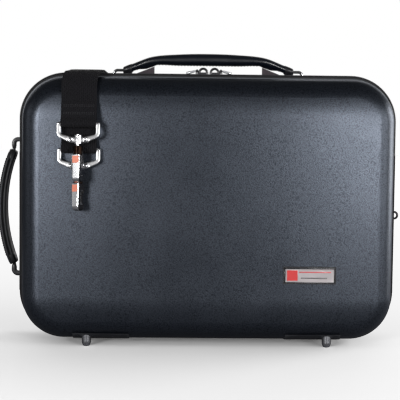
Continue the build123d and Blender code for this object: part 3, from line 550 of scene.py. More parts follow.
def by_map(tree):
    """Across and along from the piece's own cloth map, whose unit is a millimetre."""
    cloth = tree.nodes.new("ShaderNodeUVMap")
    cloth.uv_map = "cloth"
    parts = tree.nodes.new("ShaderNodeSeparateXYZ")
    tree.links.new(cloth.outputs[0], parts.inputs[0])
    return parts.outputs[0], parts.outputs[1]


def by_place(tree):
    """Across and along from where the cloth is: depth across, and the other two along."""
    x, y, z = axes_of(tree)
    along = maths(tree, "MULTIPLY", maths(tree, "ADD", x, z), 1 / MM)
    return maths(tree, "MULTIPLY", y, 1 / MM), along


def plush(name, colour, scale, depth):
    """Short pile with sheen, lighter where it has been brushed the other way."""
    finish = Finish(name, roughness=0.95, sheen_weight=0.6, sheen_roughness=0.4)
    pile = finish.group("plush_pile", scale=scale)
    tips = finish.mix(pile["Brushed"], shade(colour, 0.7), shade(colour, 1.4))
    finish.set("Base Color", finish.mix(pile["Height"], shade(colour, 0.4), tips))
    return finish.bump((pile["Height"], depth))


def soft_cover(name, colour, rough, scale, depth, sheen, shine):
    """Padded cover: soft rubbery cloth with a tiny grain and slow creases."""
    finish = Finish(name, roughness=rough, sheen_weight=sheen, sheen_roughness=0.5,
                    specular_ior_level=shine)
    grain = finish.group("moulded_grain", scale=scale)
    smudge = finish.group("handling_marks", scale=24.0)["Smudge"]
    wear = finish.group("edge_wear", amount=0.4)
    # painted shade: the grain's valleys are darker
    body = finish.mix(grain["Valley"], colour, shade(colour, 0.5))
    finish.set("Base Color", finish.mix(wear["Mask"], body, shade(colour, 1.8, 0.01)))
    finish.gloss(rough, 0.2, smudge)
    return finish.bump((grain["Height"], depth), (smudge, 0.8))


# %% [markdown]
# ## The list of finishes
# One table holds every finish of the case. Each could be made where it is used, but side by side
# the blacks can be told apart and kept in step: bluish shell, neutral rubber, warm webbing.

# %% The list of finishes
PLATING = (0.88, 0.88, 0.90)
BLACK = (0.008, 0.008, 0.010)
CLOTH_BLACK = (0.006, 0.006, 0.007)
SHELL_CROWN = (3200.0, 46.0, 9.8)         # the shoulders reach as far as the corners' radius

finishes = {
    "shell": grained_plastic("shell_plastic", (0.0053, 0.0068, 0.0103), 0.36, 880.0, 0.075, 0.95, 0.88,
                             SHELL_CROWN, ior=1.60, specular_tint=(0.742, 0.829, 0.988)),
    "piping": grained_plastic("piping_rubber", (0.004, 0.004, 0.005), 0.50, 1100.0, 0.03, 0.22),
    "plum": grained_plastic("riser_plastic", (0.016, 0.010, 0.014), 0.55, 1400.0, 0.04, 0.3),
    # the lip's pale grey is a painted highlight, the bright line along the lid's rim
    "lip": lacquered("lip_painted_highlight", (0.075, 0.080, 0.088), 0.26, 0.4),
    "teeth": lacquered("zip_teeth_plastic", BLACK, 0.40, 0.1),
    "slider": lacquered("slider_lacquer", BLACK, 0.26, 0.6),
    "black_metal": lacquered("black_lacquer", (0.006, 0.006, 0.008), 0.34, 0.3),
    "hinge": lacquered("hinge_lacquer", (0.008, 0.009, 0.012), 0.42, 0.1),
    "surround": lacquered("badge_surround", BLACK, 0.25, 0.5),
    "enamel": lacquered("badge_enamel", (0.55, 0.05, 0.05), 0.22, 0.6),
    "inlay": lacquered("inlay_enamel", (0.58, 0.16, 0.10), 0.25, 0.5),
    "sleeve": lacquered("sleeve_rubber", (0.006, 0.006, 0.008), 0.42, 0.1),
    "pull": smoky("pull_plastic", (0.50, 0.51, 0.53), 0.20),
    "steel": polished("bright_steel", (0.72, 0.73, 0.75), 0.14),
    "nickel": polished("foot_nickel", (0.62, 0.63, 0.66), 0.20),
    "cast": polished("cast_chrome", (0.90, 0.90, 0.91), 0.30, 0.15),
    "chrome": polished("hook_chrome", PLATING, 0.18, 0.2),
    # the hooks' plating, with painted shade on their faces turned to +X
    "hook": painted_shade_to_right("hook_plating_painted_shade", PLATING, (0.035, 0.033, 0.035), 0.25),
    "pin": polished("pin_steel", (0.55, 0.56, 0.58), 0.28),
    "collar": polished("collar_bronze", (0.012, 0.007, 0.005), 0.22),
    "badge": brushed("badge_metal", (0.80, 0.74, 0.75), 0.30, (0.03, 1.0, 1.0)),
    "tape": woven("zip_tape_cloth", CLOTH_BLACK, 0.7, 0.4, 0.2, by_place),
    "binding": woven("binding_cloth", CLOTH_BLACK, 0.8, 0.4, 0.2, by_place),
    "thread": woven("black_thread", (0.020, 0.020, 0.023), 0.5, 0.2, 0.1, by_place),
    "webbing": woven("strap_webbing", (0.0038, 0.0035, 0.0054), 2.0, 0.7, 0.5, by_map),
    "plush": plush("tray_plush", (0.030, 0.030, 0.034), 1400.0, 0.6),
    "flap": plush("flap_plush", (0.040, 0.040, 0.045), 1700.0, 0.4),
    "grip": soft_cover("grip_cover", (0.0030, 0.0045, 0.0085), 0.29, 1500.0, 0.03, 0.0, 0.80),
    "side_grip": soft_cover("side_grip_cover", (0.014, 0.015, 0.018), 0.50, 1300.0, 0.06, 0.05, 0.5),
}
print("finishes", len(finishes))

# %% [markdown]
# ## Dress the rigid pieces
# The model's own shells, sliders, hooks and plates already have the right shape. New meshes
# could stand for them, but that would only risk the fit. They keep their meshes and take a
# finish. A table says which piece wears what.

# %% Dress the rigid pieces
dress = {
    "shell": ["front_shell", "rear_shell"],
    "piping": ["lid_bead", "rear_bead"],
    "tape": ["lid_zip_tape", "rear_zip_tape", "hinge_strip"],
    "teeth": ["lid_zip_chain", "rear_zip_chain"],
    "slider": ["left_slider", "right_slider"],
    "pull": ["left_pull", "right_pull"],
    "steel": ["handle_posts"],
    "nickel": ["lid_feet", "rear_feet"],
    "chrome": ["outer_frame", "inner_frame"],
    "hook": ["outer_hook", "inner_hook", "outer_gate", "inner_gate"],
    "black_metal": ["handle_plates", "side_handle_posts", "side_handle_plates", "ring_clip",
                    "strap_ring"],
    "hinge": ["lid_hinge_leaves", "rear_hinge_leaves"],
    "pin": ["hinge_pins", "flap_hinge"],
    "plum": ["handle_risers"],
    "badge": ["badge_plate"],
    "surround": ["badge_bezel"],
    "collar": ["outer_collar", "inner_collar"],
    "inlay": ["outer_hook_inlay", "inner_hook_inlay"],
    "plush": ["lid_lining", "joint_block", "bell_block", "barrel_block", "mouthpiece_block"],
    "flap": ["box_flap"],
}
for finish_name, nodes in dress.items():
    for name in nodes:
        mesh = frame["nodes"][name].data
        mesh.materials.clear()
        mesh.materials.append(finishes[finish_name])
print("dressed", sum(len(n) for n in dress.values()), "pieces")

# %% [markdown]
# ## Routes and sections
# Webbing, grips, castings and sleeves all have one section that runs along a way. Curves with a
# bevel could draw them, but a section that changes on its way needs its own points. So a route
# is a chain of straight runs whose corners are arcs, and a skin is carried through the sections
# that stand along it.

# %% Routes
def evenly(route, step):
    """The same route with its places evenly spaced, about a step apart."""
    total = sum((b - a).length for a, b in zip(route, route[1:]))
    count = max(2, round(total / step))
    spaced, walked, index = [route[0]], 0.0, 0
    for i in range(1, count):
        wanted = total * i / count
        while walked + (route[index + 1] - route[index]).length < wanted:
            walked += (route[index + 1] - route[index]).length
            index += 1
        run = route[index + 1] - route[index]
        spaced.append(route[index] + run * ((wanted - walked) / run.length))
    return spaced + [route[-1]]


def rounded_route(points, radii, step):
    """Places every step millimetres along straight runs joined by arcs."""
    corners = [Vector(p) for p in points]
    route = [corners[0]]
    for before, corner, after, radius in zip(corners, corners[1:], corners[2:], radii):
        back, ahead = (before - corner).normalized(), (after - corner).normalized()
        half = back.angle(ahead) / 2
        centre = corner + (back + ahead).normalized() * radius / math.sin(half)
        first = corner + back * radius / math.tan(half) - centre
        last = corner + ahead * radius / math.tan(half) - centre
        count = max(3, math.ceil(radius * (math.pi - 2 * half) / step))
        route += [centre + first.normalized().slerp(last.normalized(), i / count) * radius
                  for i in range(count + 1)]
    return evenly(route + [corners[-1]], step)


def heading(route, i):
    """The way ahead at a place of a route."""
    return (route[min(i + 1, len(route) - 1)] - route[max(i - 1, 0)]).normalized()


# %% Sections and skins
SLEEK = 24                                # points round a padded or cast section


def oval(count=SLEEK, across=1.0, out=1.0):
    """Pairs round a section, each from -1 to 1. Powers below 1 make it fuller than a circle."""
    pairs = []
    for j in range(count):
        c, s = math.cos(math.tau * j / count), math.sin(math.tau * j / count)
        pairs.append((math.copysign(abs(c) ** across, c), math.copysign(abs(s) ** out, s)))
    return pairs


def add_mesh(name, points, faces, finish):
    """A smooth object from points in millimetres (case frame) and faces."""
    mesh = bpy.data.meshes.new(name)
    mesh.from_pydata([case_point(*p) for p in points], [], faces)
    mesh.materials.append(finishes[finish])
    mesh.shade_smooth()
    mesh.update()
    piece = bpy.data.objects.new(name, mesh)
    bpy.context.scene.collection.objects.link(piece)
    return piece


def carry(name, rings, finish, cloth=None):
    """A skin through rings of points, closed at both ends."""
    around = len(rings[0])
    points = [p for ring in rings for p in ring]
    faces = []
    for start in range(0, len(points) - around, around):
        for j in range(around):
            a, b = start + j, start + (j + 1) % around
            faces.append((a, b, b + around, a + around))
    faces.append(tuple(reversed(range(around))))
    faces.append(tuple(range(len(points) - around, len(points))))
    piece = add_mesh(name, points, faces, finish)
    if cloth:
        layer = piece.data.uv_layers.new(name="cloth")
        for corner in piece.data.loops:
            layer.data[corner.index].uv = cloth(corner.vertex_index)
    return piece


def attach(pieces, body):
    """Pieces that move with a body."""
    for piece in pieces:
        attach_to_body(piece, body)


print("section points", len(oval()))

# %% [markdown]
# ## Stitches
# A stitch is a short thread that sinks into the cloth at both ends. A texture could paint rows
# of them, but from the side they would vanish. Each one is a small open tube, swollen in the
# middle, and a whole row is one mesh.

# %% Stitches
STITCH_PITCH = 2.4
STITCH_SIDES = 6
STITCH_PROFILE = ((-0.5, 0.25), (-0.3, 0.9), (0.0, 1.15), (0.3, 0.9), (0.5, 0.25))   # along, girth


def stitches(name, places, length=2.4, girth=0.42):
    """Short threads sunk in the cloth. places are (point, direction, outward) triples."""
    points, faces = [], []
    for place, ahead, outward in places:
        place, ahead, outward = Vector(place), Vector(ahead).normalized(), Vector(outward).normalized()
        side = ahead.cross(outward)
        start = len(points)
        for along, swell in STITCH_PROFILE:
            points += [place + ahead * along * length + (side * c + outward * s) * girth * swell
                       for c, s in oval(STITCH_SIDES)]
        for ring in range(start, len(points) - STITCH_SIDES, STITCH_SIDES):
            for j in range(STITCH_SIDES):
                a, b = ring + j, ring + (j + 1) % STITCH_SIDES
                faces.append((a, b, b + STITCH_SIDES, a + STITCH_SIDES))
    return add_mesh(name, points, faces, "thread")


print("faces of a stitch", STITCH_SIDES * (len(STITCH_PROFILE) - 1))

# %% [markdown]
# ## Shoulder strap
# One long webbing is folded over the top of the case. Two layers come down over the lid, and
# each is sewn back round the bar of its hook. The rest hangs behind the case as one bight.
# Cloth simulation could drape it, but webbing is stiff and lies flat, so its route says all. The
# strap crosses the zip at a slight slant, as loose webbing does.

# %% Strap sizes
STRAP_WIDTH = 37.0
STRAP_THICK = 1.5
PLY = 1.65                                # from one layer to the next
OVER_ZIP = 294.25                         # height of the under layer where it crosses the zip
LOOP = 3.0                                # from a hook's bar to the middle of the webbing round it
TURN = LOOP - 0.01                        # radius of its turn round a bar
SLANT, SLANT_FADE = 5.6, 52.0             # how far it has wandered at the zip, and over what length
BIGHT_DRIFT, BIGHT_FADE = 3.0, 70.0       # how much further it wanders behind, over what length
RIPPLE, RIPPLE_LENGTH = 0.048, 11.0       # the faint wave of its edges
BACK_GAP = 0.8                            # from the rear shell to the bight
TACK_KNEE = 5.5                           # height of the sewn end's bend over the outer bar
outer_low, outer_high = case_box("strap_outer_layer")
STRAP_X = (outer_low.x + outer_high.x) / 2
bars = {n: pivot(n + "_frame_pivot") for n in ("outer", "inner")}


def webbing(name, route, slant, node):
    """Webbing along a route of (0, y, z) places; slant gives its sideways shift in millimetres."""
    across = [-1, -0.97, -0.9, -0.7, -0.45, -0.2, 0, 0.2, 0.45, 0.7, 0.9, 0.97, 1]
    rings, walked = [], [0.0]
    for a, b in zip(route, route[1:]):
        walked.append(walked[-1] + (b - a).length)
    for i, place in enumerate(route):
        ahead = heading(route, i)
        normal = Vector((0, ahead.z, -ahead.y))
        shift = STRAP_X + slant(walked[i])
        ripple = RIPPLE * math.sin(walked[i] / RIPPLE_LENGTH)
        upper, lower = [], []
        for u in across:
            half = STRAP_THICK / 2 * (1 - 0.5 * abs(u) ** 10)
            edge = place + Vector((shift + u * STRAP_WIDTH / 2, 0, 0)) + normal * ripple * u
            upper.append(edge + normal * half)
            lower.append(edge - normal * half)
        rings.append(upper + lower[::-1])
    spots = across + across[::-1]

    def cloth(index):
        ring, j = divmod(index, len(spots))
        return spots[j] * STRAP_WIDTH / 2, walked[ring]

    piece = carry(name, rings, "webbing", cloth)
    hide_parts(node)
    attach([piece], "lid")
    return piece


# %% The two layers over the lid
def slant_on_lid(walked):
    """The sideways wander that is full at the zip and dies away down the lid."""
    t = min(walked / SLANT_FADE, 1.0)
    return SLANT * (1 - t) ** 2 * (1 + 2 * t)


def under_route(bar):
    """The layer next to the lid: over the zip, down, round its bar and back behind itself."""
    back, front, low = bar.y + LOOP, bar.y - LOOP, bar.z - LOOP
    points = [(0, -0.3, OVER_ZIP), (0, back, OVER_ZIP - 3.8), (0, back, low), (0, front, low),
              (0, front, bar.z + 2.5), (0, back - PLY, bar.z + 12), (0, back - PLY, bar.z + 30)]
    return rounded_route(points, [22, TURN, TURN, 2.5, 4], 1.0)


def over_route(bar, on_lid, knee, lean):
    """The layer on top of it, whose sewn end shows in front."""
    back, front, low = bar.y + LOOP, bar.y - LOOP, bar.z - LOOP
    points = [(0, -0.3, OVER_ZIP + PLY), (0, on_lid, OVER_ZIP - 2), (0, on_lid, bar.z + 23.5),
              (0, back, bar.z + TACK_KNEE), (0, back, low), (0, front, low), (0, front, bar.z + 2),
              knee, knee + lean * 17]
    return rounded_route(points, [23.5, 12, 4, TURN, TURN, 2, 3], 1.0)


on_lid = bars["inner"].y + LOOP - PLY
over_back = bars["outer"].y + LOOP
lean = Vector((0, on_lid - over_back, 18)).normalized()
lean_out = Vector((0, -lean.z, lean.y))
knee = Vector((0, over_back, bars["outer"].z + TACK_KNEE)) + lean_out * PLY
under = under_route(bars["inner"])
over = over_route(bars["outer"], on_lid, knee, lean)
webbing("strap_under", under, slant_on_lid, "strap_inner_layer")
webbing("strap_over", over, slant_on_lid, "strap_outer_layer")
print("places on the front layers", len(over), len(under))

# %% The bight behind the case
def bight_route():
    """Down in the outer ply, round, and up in the inner one."""
    inner = BASE_FACE + BACK_GAP + STRAP_THICK / 2
    outer = inner + PLY
    low = case_box("strap_rear_loop")[0].z + PLY / 2 + STRAP_THICK / 2
    points = [(0, 0.3, OVER_ZIP + PLY), (0, outer, OVER_ZIP + PLY - 3.6), (0, outer, low),
              (0, (outer + inner) / 2, low - PLY / 2), (0, inner, low), (0, inner, OVER_ZIP - 3.6),
              (0, 0.3, OVER_ZIP)]
    return rounded_route(points, [23.6, 0.5, 0.5, 0.5, 22], 1.4)


behind = bight_route()
bight_length = sum((b - a).length for a, b in zip(behind, behind[1:]))


def slant_behind(walked):
    """The wander at the zip, and a little more behind the case."""
    return SLANT + BIGHT_DRIFT * min(1.0, min(walked, bight_length - walked) / BIGHT_FADE)


bight = webbing("strap_bight", behind, slant_behind, "strap_rear_loop")
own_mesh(bight)
print("bight in mm", round(bight_length))

# %% Sewing on the strap
TACK_ROWS = (-5.5, -4.0, 3.0, 4.5)        # heights of the rows on the sewn end
TACK_MIDDLE = 9.5                         # from the knee to the middle of the rows
TACK_MARGIN = 4.0                         # webbing left unsewn, both edges together


def sew_strap():
    """Straight rows of stitches across the webbing's sewn end."""
    right = Vector((1, 0, 0))
    width = STRAP_WIDTH - TACK_MARGIN
    count = round(width / STITCH_PITCH)
    middle = knee + lean * TACK_MIDDLE + right * STRAP_X + lean_out * STRAP_THICK / 2
    places = [(middle + right * ((i + 0.5) / count - 0.5) * width + lean * height, right, lean_out)
              for height in TACK_ROWS for i in range(count)]
    attach([stitches("strap_stitching", places, STITCH_PITCH * 0.8)], "lid")
    return len(places)


print("strap stitches", sew_strap())

# %% [markdown]
# ## Top grip
# The grip is a padded roll on two steel posts. Its cover is drawn together in a seam underneath,
# and a moulded sleeve holds each tip, where the post goes in. Cloth under pressure could swell
# it, but the grip has to clear its webs when it tilts. So its sections come from a table, and a
# smooth curve runs between them.

# %% Sections of the top grip
grip_low, grip_high = case_box("top_handle")
GRIP_Y = (grip_low.y + grip_high.y) / 2
GRIP_REACH = (grip_high.x - grip_low.x) / 2
GRIP_TOP = grip_high.z
TIP_HEIGHT = pivot("top_handle_pivot").z
# Half the grip from its tip to its middle: distance from the middle, height, width, thickness.
GRIP_SECTIONS = [(GRIP_REACH, TIP_HEIGHT, 12.0, 7.0), (GRIP_REACH - 9, TIP_HEIGHT + 2.6, 14.0, 8.4),
                 (62.0, GRIP_TOP - 8.6, 19.0, 9.6), (31.0, GRIP_TOP - 7.1, 20.0, 12.6),
                 (0.0, GRIP_TOP - 6.7, 20.0, 13.4)]
# How far the grip's underside bulges down at each distance from its middle: over the webs that
# carry it, by as much as still clears them when it tilts, and again inside the sleeves.
KEEL = [(57.0, 0.0), (60.0, 1.5), (62.5, 2.2), (66.0, 2.8), (69.0, 2.9), (72.0, 2.0), (75.0, 0.9),
        (77.5, 0.0), (83.4, 0.0), (85.0, 3.6), (GRIP_REACH, 1.9)]


def grip_section(x):
    """Height, width and thickness at x, by a curve through the table and its mirror image."""
    rows = sorted(GRIP_SECTIONS)
    rows = [(-r[0], *r[1:]) for r in rows[:0:-1]] + rows
    index = max(i for i, r in enumerate(rows[:-1]) if r[0] <= x + 1e-9)
    a, b = rows[index], rows[index + 1]
    before = rows[index - 1] if index else a
    after = rows[index + 2] if index + 2 < len(rows) else b
    t = (x - a[0]) / (b[0] - a[0])
    values = []
    for k in range(1, len(a)):
        rise_a = (b[k] - before[k]) / (b[0] - before[0]) * (b[0] - a[0])
        rise_b = (after[k] - a[k]) / (after[0] - a[0]) * (b[0] - a[0])
        values.append((2 * t ** 3 - 3 * t ** 2 + 1) * a[k] + (t ** 3 - 2 * t ** 2 + t) * rise_a
                      + (3 * t ** 2 - 2 * t ** 3) * b[k] + (t ** 3 - t ** 2) * rise_b)
    return values


def keel_at(x):
    """The bulge at x, by straight lines through the table."""
    for (near, low), (far, high) in zip(KEEL, KEEL[1:]):
        if near <= abs(x) <= far:
            return low + (high - low) * (abs(x) - near) / (far - near)
    return 0.0


print("grip half length in mm", round(GRIP_REACH, 1))

# %% The roll, its sleeves and its seam
COVER_END = 7.0                           # how far the cover stops short of the grip's tips
GRIP_STEPS = 120
OVAL_FROM, OVAL_OVER = 70.0, 6.0          # where the full section turns into a plain oval
SEAM_PINCH, SEAM_WIDTH = 0.9, 0.16        # depth in millimetres, width in radians
SEAM_REACH, SEAM_COUNT, SEAM_ASIDE = 80.0, 46, 1.5
CREASE = 0.10
# The sleeve's own sections: distance from the grip's tip, and how much it is fatter.
SLEEVE_SECTIONS = ((9.5, 0.2), (9.2, 0.7), (5.0, 0.8), (0.8, 0.3), (0.0, -0.8))


def padded_ring(x, height, width, thickness, seam=0.0, keel=0.0):
    """A full rounded section, plainly oval towards the tips.

    seam draws it in at the bottom and keel lets it down.
    """
    power = 0.86 + 0.14 * min(1.0, max(0.0, (abs(x) - OVAL_FROM) / OVAL_OVER))
    ring = []
    for j, (u, v) in enumerate(oval(2 * SLEEK, power, power)):
        angle = math.pi * j / SLEEK
        pinch = seam * math.exp(-((angle - 1.5 * math.pi) / SEAM_WIDTH) ** 2)
        bulge = keel * max(0.0, -math.sin(angle)) ** 4
        ring.append((x, GRIP_Y + u * width / 2, height + v * thickness / 2 + pinch - bulge))
    return ring


def grip_sleeve(side):
    """The moulded sleeve over one tip."""
    rings = []
    for inset, grow in SLEEVE_SECTIONS:
        reach = GRIP_REACH - inset
        height, width, thickness = grip_section(side * reach)
        rings.append(padded_ring(side * reach, height, width + grow, thickness + grow,
                                 keel=keel_at(reach) * min(1.0, 0.7 + grow)))
    return carry("grip_sleeve", rings[::side], "sleeve")


def grip_seam():
    """Two rows of stitches along the seam underneath."""
    places = []
    for i in range(SEAM_COUNT):
        x = SEAM_REACH * (2 * (i + 0.5) / SEAM_COUNT - 1)
        height, _, thickness = grip_section(x)
        ahead = (2, 0, grip_section(x + 1)[0] - grip_section(x - 1)[0])
        places += [((x, GRIP_Y + y, height - thickness / 2 + 0.28), ahead, (0, 0, -1))
                   for y in (-SEAM_ASIDE, SEAM_ASIDE)]
    return stitches("grip_seam", places)


def build_grip():
    """The padded roll with its seam and the sleeves at its tips."""
    rings = []
    for i in range(GRIP_STEPS + 1):
        x = (GRIP_REACH - COVER_END) * (2 * i / GRIP_STEPS - 1)
        height, width, thickness = grip_section(x)
        crease = CREASE * math.sin(x * 1.9) * math.exp(-((abs(x) - 62) / 12) ** 2)
        rings.append(padded_ring(x, height, width, thickness + crease, SEAM_PINCH, keel_at(x)))
    grip = carry("grip_cover", rings, "grip")
    attach([grip_sleeve(-1), grip_sleeve(1), grip_seam(), grip], "top_handle")
    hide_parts("top_handle")


build_grip()
print("grip stitches", 2 * SEAM_COUNT)

# %% [markdown]
# ## Side grip
# Two padded straps lie on each other with a dark groove between them. They are sewn together
# along both edges and end in flat tabs that turn on the wire posts. One solid with a cut groove
# would look stiff, so each strap is its own skin, carried along the same bow.

# %% Side grip
side_low, side_high = case_box("side_handle")
SIDE_X, SIDE_Y = pivot("side_handle_pivot").xy
SIDE_MIDDLE = (side_low.z + side_high.z) / 2
SIDE_HALF = 62.5
SIDE_BOW = 12.0
SIDE_WIDTH = 24.0
SIDE_STEPS = 90
SIDE_OUT = 2.15                           # from the bow to the middle of each strap
SEWN_REACH, SEWN_COUNT, SEWN_ASIDE, SEWN_OUT = 0.84, 42, 9.2, 4.02
# The tabs' sections: how far along the bow, thickness, width.
TAB_SECTIONS = ((0.84, 8.6, 21.0), (0.86, 9.2, 21.6), (0.95, 9.0, 18.5), (0.995, 8.2, 15.5),
                (1.0, 6.8, 14.0))


def bow_place(t, out=0.0):
    """Place and outward direction on the bow; t runs from -1 (low end) to 1."""
    radius = (SIDE_HALF ** 2 + SIDE_BOW ** 2) / (2 * SIDE_BOW)
    angle = t * math.asin(SIDE_HALF / radius)
    centre = Vector((SIDE_X - SIDE_BOW + radius, SIDE_Y, SIDE_MIDDLE))
    outward = Vector((-math.cos(angle), 0, math.sin(angle)))
    return centre + outward * (radius + out), outward


def bow_ring(t, out, thick, width, section):
    """A full section across the bow."""
    place, outward = bow_place(t, out)
    return [place + Vector((0, u * width / 2, 0)) + outward * (v * thick / 2) for u, v in section]


def pad_strap(name, out, thick, width, finish, rib=0.0):
    """One padded strap of the side grip, out millimetres outside the bow."""
    section = oval(SLEEK, 0.45, 0.62)
    rings = []
    for i in range(SIDE_STEPS + 1):
        t = 2 * i / SIDE_STEPS - 1
        taper = 1 - 0.42 * max(0.0, (abs(t) - 0.80) / 0.20) ** 2
        flatten = 1 - 0.45 * max(0.0, (abs(t) - 0.85) / 0.15)
        puff = (thick + rib * math.sin(t * 95)) * flatten
        rings.append(bow_ring(t, out, puff, width * taper, section))
    return carry(name, rings, finish)


def side_tab(end):
    """The flat tab at one end, where the wire goes in."""
    section = oval(SLEEK, 0.5, 0.6)
    rings = [bow_ring(end * t, 0.0, thick, width, section) for t, thick, width in TAB_SECTIONS]
    return carry("side_grip_tab", rings[::end], "sleeve")


def side_sewing():
    """A row of stitches along both edges of the outer strap."""
    places = []
    for i in range(SEWN_COUNT):
        t = SEWN_REACH * (2 * (i + 0.5) / SEWN_COUNT - 1)
        place, outward = bow_place(t, SEWN_OUT)
        ahead = bow_place(t + 0.01)[0] - bow_place(t - 0.01)[0]
        places += [(place + Vector((0, y, 0)), ahead, outward) for y in (-SEWN_ASIDE, SEWN_ASIDE)]
    return stitches("side_grip_sewing", places)


def build_side_grip():
    """Two padded straps round a thin dark core, sewn together, with a tab at each end."""
    outer = pad_strap("side_grip_outer", SIDE_OUT, 4.0, SIDE_WIDTH, "side_grip", 0.16)
    inner = pad_strap("side_grip_inner", -SIDE_OUT, 3.9, SIDE_WIDTH, "side_grip")
    core = pad_strap("side_grip_core", 0.0, 1.6, SIDE_WIDTH - 2.4, "binding")
    pieces = [inner, core, side_sewing(), side_tab(-1), side_tab(1), outer]
    attach(pieces, "side_handle")
    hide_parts("side_handle")


build_side_grip()
print("side grip stitches", 2 * SEWN_COUNT)

# %% [markdown]
# ## Round the rim
# The zip tape is sewn to both rims, and the lid's face ends in a fine glossy lip before its
# welt; the lip's pale grey is a painted highlight along the rim. Both could be drawn on the shell.
# As meshes they follow the zip's run and turn its corners, and the stitches catch the light by
# themselves, so one route serves all three.

# %% Tape stitching and the lid's lip
CORNER = 46.0                             # the shells' corner radius
CORNER_STEPS = 24
ZIP_END = 56.0                            # height of the zip's ends
TAPE_PROUD, TAPE_ASIDE = 3.7, 6.9         # where the tape is sewn: over the shell, off the parting
TAPE_PITCH, TAPE_STITCH, TAPE_GIRTH = 3.4, 2.3, 0.34
LIP_PROUD, LIP_GIRTH = 0.25, 0.7
LIP_AHEAD = 3.4                           # from the lid's rim forward to the lip


def rim_places(proud, pitch):
    """Places along the zip's run, from the left end over the top to the right end."""
    half, radius, top = HALF_WIDTH + proud, CORNER + proud, SHELL_TOP + proud
    route = [Vector((-half, 0, ZIP_END))]
    for i in range(CORNER_STEPS + 1):
        angle = math.pi / 2 * i / CORNER_STEPS
        route.append(Vector((radius - half - radius * math.cos(angle), 0,
                             top - radius + radius * math.sin(angle))))
    route += [Vector((-p.x, 0, p.z)) for p in reversed(route)]
    return evenly(route, pitch)


def sew_tape(name, y, body):
    """A row of stitches along a tape, y millimetres from the parting plane."""
    route = rim_places(TAPE_PROUD, TAPE_PITCH)
    places = []
    for a, b in zip(route, route[1:]):
        ahead = (b - a).normalized()
        places.append(((a + b) / 2 + Vector((0, y, 0)), ahead, Vector((-ahead.z, 0, ahead.x))))
    attach([stitches(name, places, TAPE_STITCH, TAPE_GIRTH)], body)


def lid_highlight_lip():
    """A fine glossy lip round the whole zip run, where the lid's face meets its welt: a painted
    highlight.
    """
    front = Vector((0, -(RIM_GAP / 2 + LIP_AHEAD), 0))
    route = rim_places(LIP_PROUD, 2.0)
    rings = []
    for i, place in enumerate(route):
        ahead = heading(route, i)
        outward = Vector((-ahead.z, 0, ahead.x))
        rings.append([place + front + Vector((0, -LIP_GIRTH * s, 0)) + outward * LIP_GIRTH * c
                      for c, s in oval(10)])
    attach([carry("lid_highlight_lip", rings, "lip")], "lid")


sew_tape("lid_tape_sewing", -TAPE_ASIDE, "lid")
sew_tape("rear_tape_sewing", TAPE_ASIDE, "case_base")
lid_highlight_lip()
print("stitches on each tape", len(rim_places(TAPE_PROUD, TAPE_PITCH)) - 1)

# %% [markdown]
# ## Cast frames and rivets
# The frames that hold the hooks are flat castings, thicker than the plain wire that carries the
# load. They could replace the wire, but the wire turns in the webbing's loop and has to stay.
# So a boxy section is carried round the same corners, over it. The rivets on each hub are
# turned: a short profile spun about an axis.

# %% Cast frames and rivets
FRAME_TILT = math.radians(9.0)
ARM, SHOULDER, RAIL = 20.4, 12.5, 17.0    # half width, where the arms turn in, depth of the rail
ARM_TOP = -1.4                            # the arms start this far above the bar
RAIL_HALF = 0.35 * ARM
HUB_HALF = 10.6
ARM_GIRTH, HUB_SWELL = 2.15, 1.05         # half the casting's width, and what the hub adds
CAST_DEPTH, HUB_DEPTH = 1.95, 1.1         # half its depth, and what the hub adds
RIVET_ASIDE, RIVET_OUT = 7.6, 2.9
RIVET_AROUND = 28
RIVET_PROFILE = [(2.75, -1.0), (2.75, 0.35), (2.45, 0.7), (2.05, 0.75), (1.85, 0.4), (1.55, 0.4),
                 (1.35, 0.75), (0.6, 0.9), (0.05, 0.92)]    # radius, height


def frame_place(bar, aside, down, out=0.0):
    """A point on a hanging frame: sideways, down from its bar, and out from the lid."""
    s, c = math.sin(FRAME_TILT), math.cos(FRAME_TILT)
    return bar + Vector((aside, -down * s - out * c, -down * c + out * s))


def cast_section(place, ahead, outward, half, depth):
    """A flat section with eased edges, square to the way ahead."""
    across = ahead.cross(outward).normalized()
    return [place + across * u * half + outward * v * depth for u, v in oval(SLEEK, 0.45, 0.45)]


def rivet(name, centre, outward):
    """A rivet's head, spun about the way outward."""
    side = outward.orthogonal().normalized()
    up = outward.cross(side)
    rings = [[centre + outward * height + (side * c + up * s) * radius for c, s in oval(RIVET_AROUND)]
             for radius, height in RIVET_PROFILE]
    return carry(name, rings, "chrome")


def cast_frame(name):
    """The casting round one frame's wire, its swollen hub and the two rivets on it."""
    bar = bars[name]
    half_way = [(ARM, ARM_TOP, 0), (ARM, SHOULDER, 0), (RAIL_HALF, RAIL, 0)]
    corners = [(-x, y, z) for x, y, z in half_way] + half_way[::-1]
    route = rounded_route(corners, [4.5, 3.0, 3.0, 4.5], 0.7)
    outward = frame_place(bar, 0, 0, 1.0) - bar
    rings = []
    for i, spot in enumerate(route):
        ahead = frame_place(bar, *heading(route, i).xy) - bar
        near = max(0.0, min(1.0, (ARM - 2.0 - abs(spot.x)) / (ARM - HUB_HALF)))
        end = min(1.0, 0.55 + min(i, len(route) - 1 - i) / 3)
        half = (ARM_GIRTH + HUB_SWELL * near ** 1.3) * end
        depth = CAST_DEPTH * end + HUB_DEPTH * max(0.0, near - 0.75) / 0.25
        rings.append(cast_section(frame_place(bar, spot.x, spot.y), ahead, outward, half, depth))
    pieces = [carry(name + "_casting", rings, "cast")]
    for side in (-1, 1):
        centre = frame_place(bar, side * RIVET_ASIDE, RAIL, RIVET_OUT)
        pieces.append(rivet(name + "_rivet", centre, outward))
    attach(pieces, name + "_frame")


for name in ("outer", "inner"):
    cast_frame(name)
print("frame width in mm", 2 * (ARM + ARM_GIRTH))

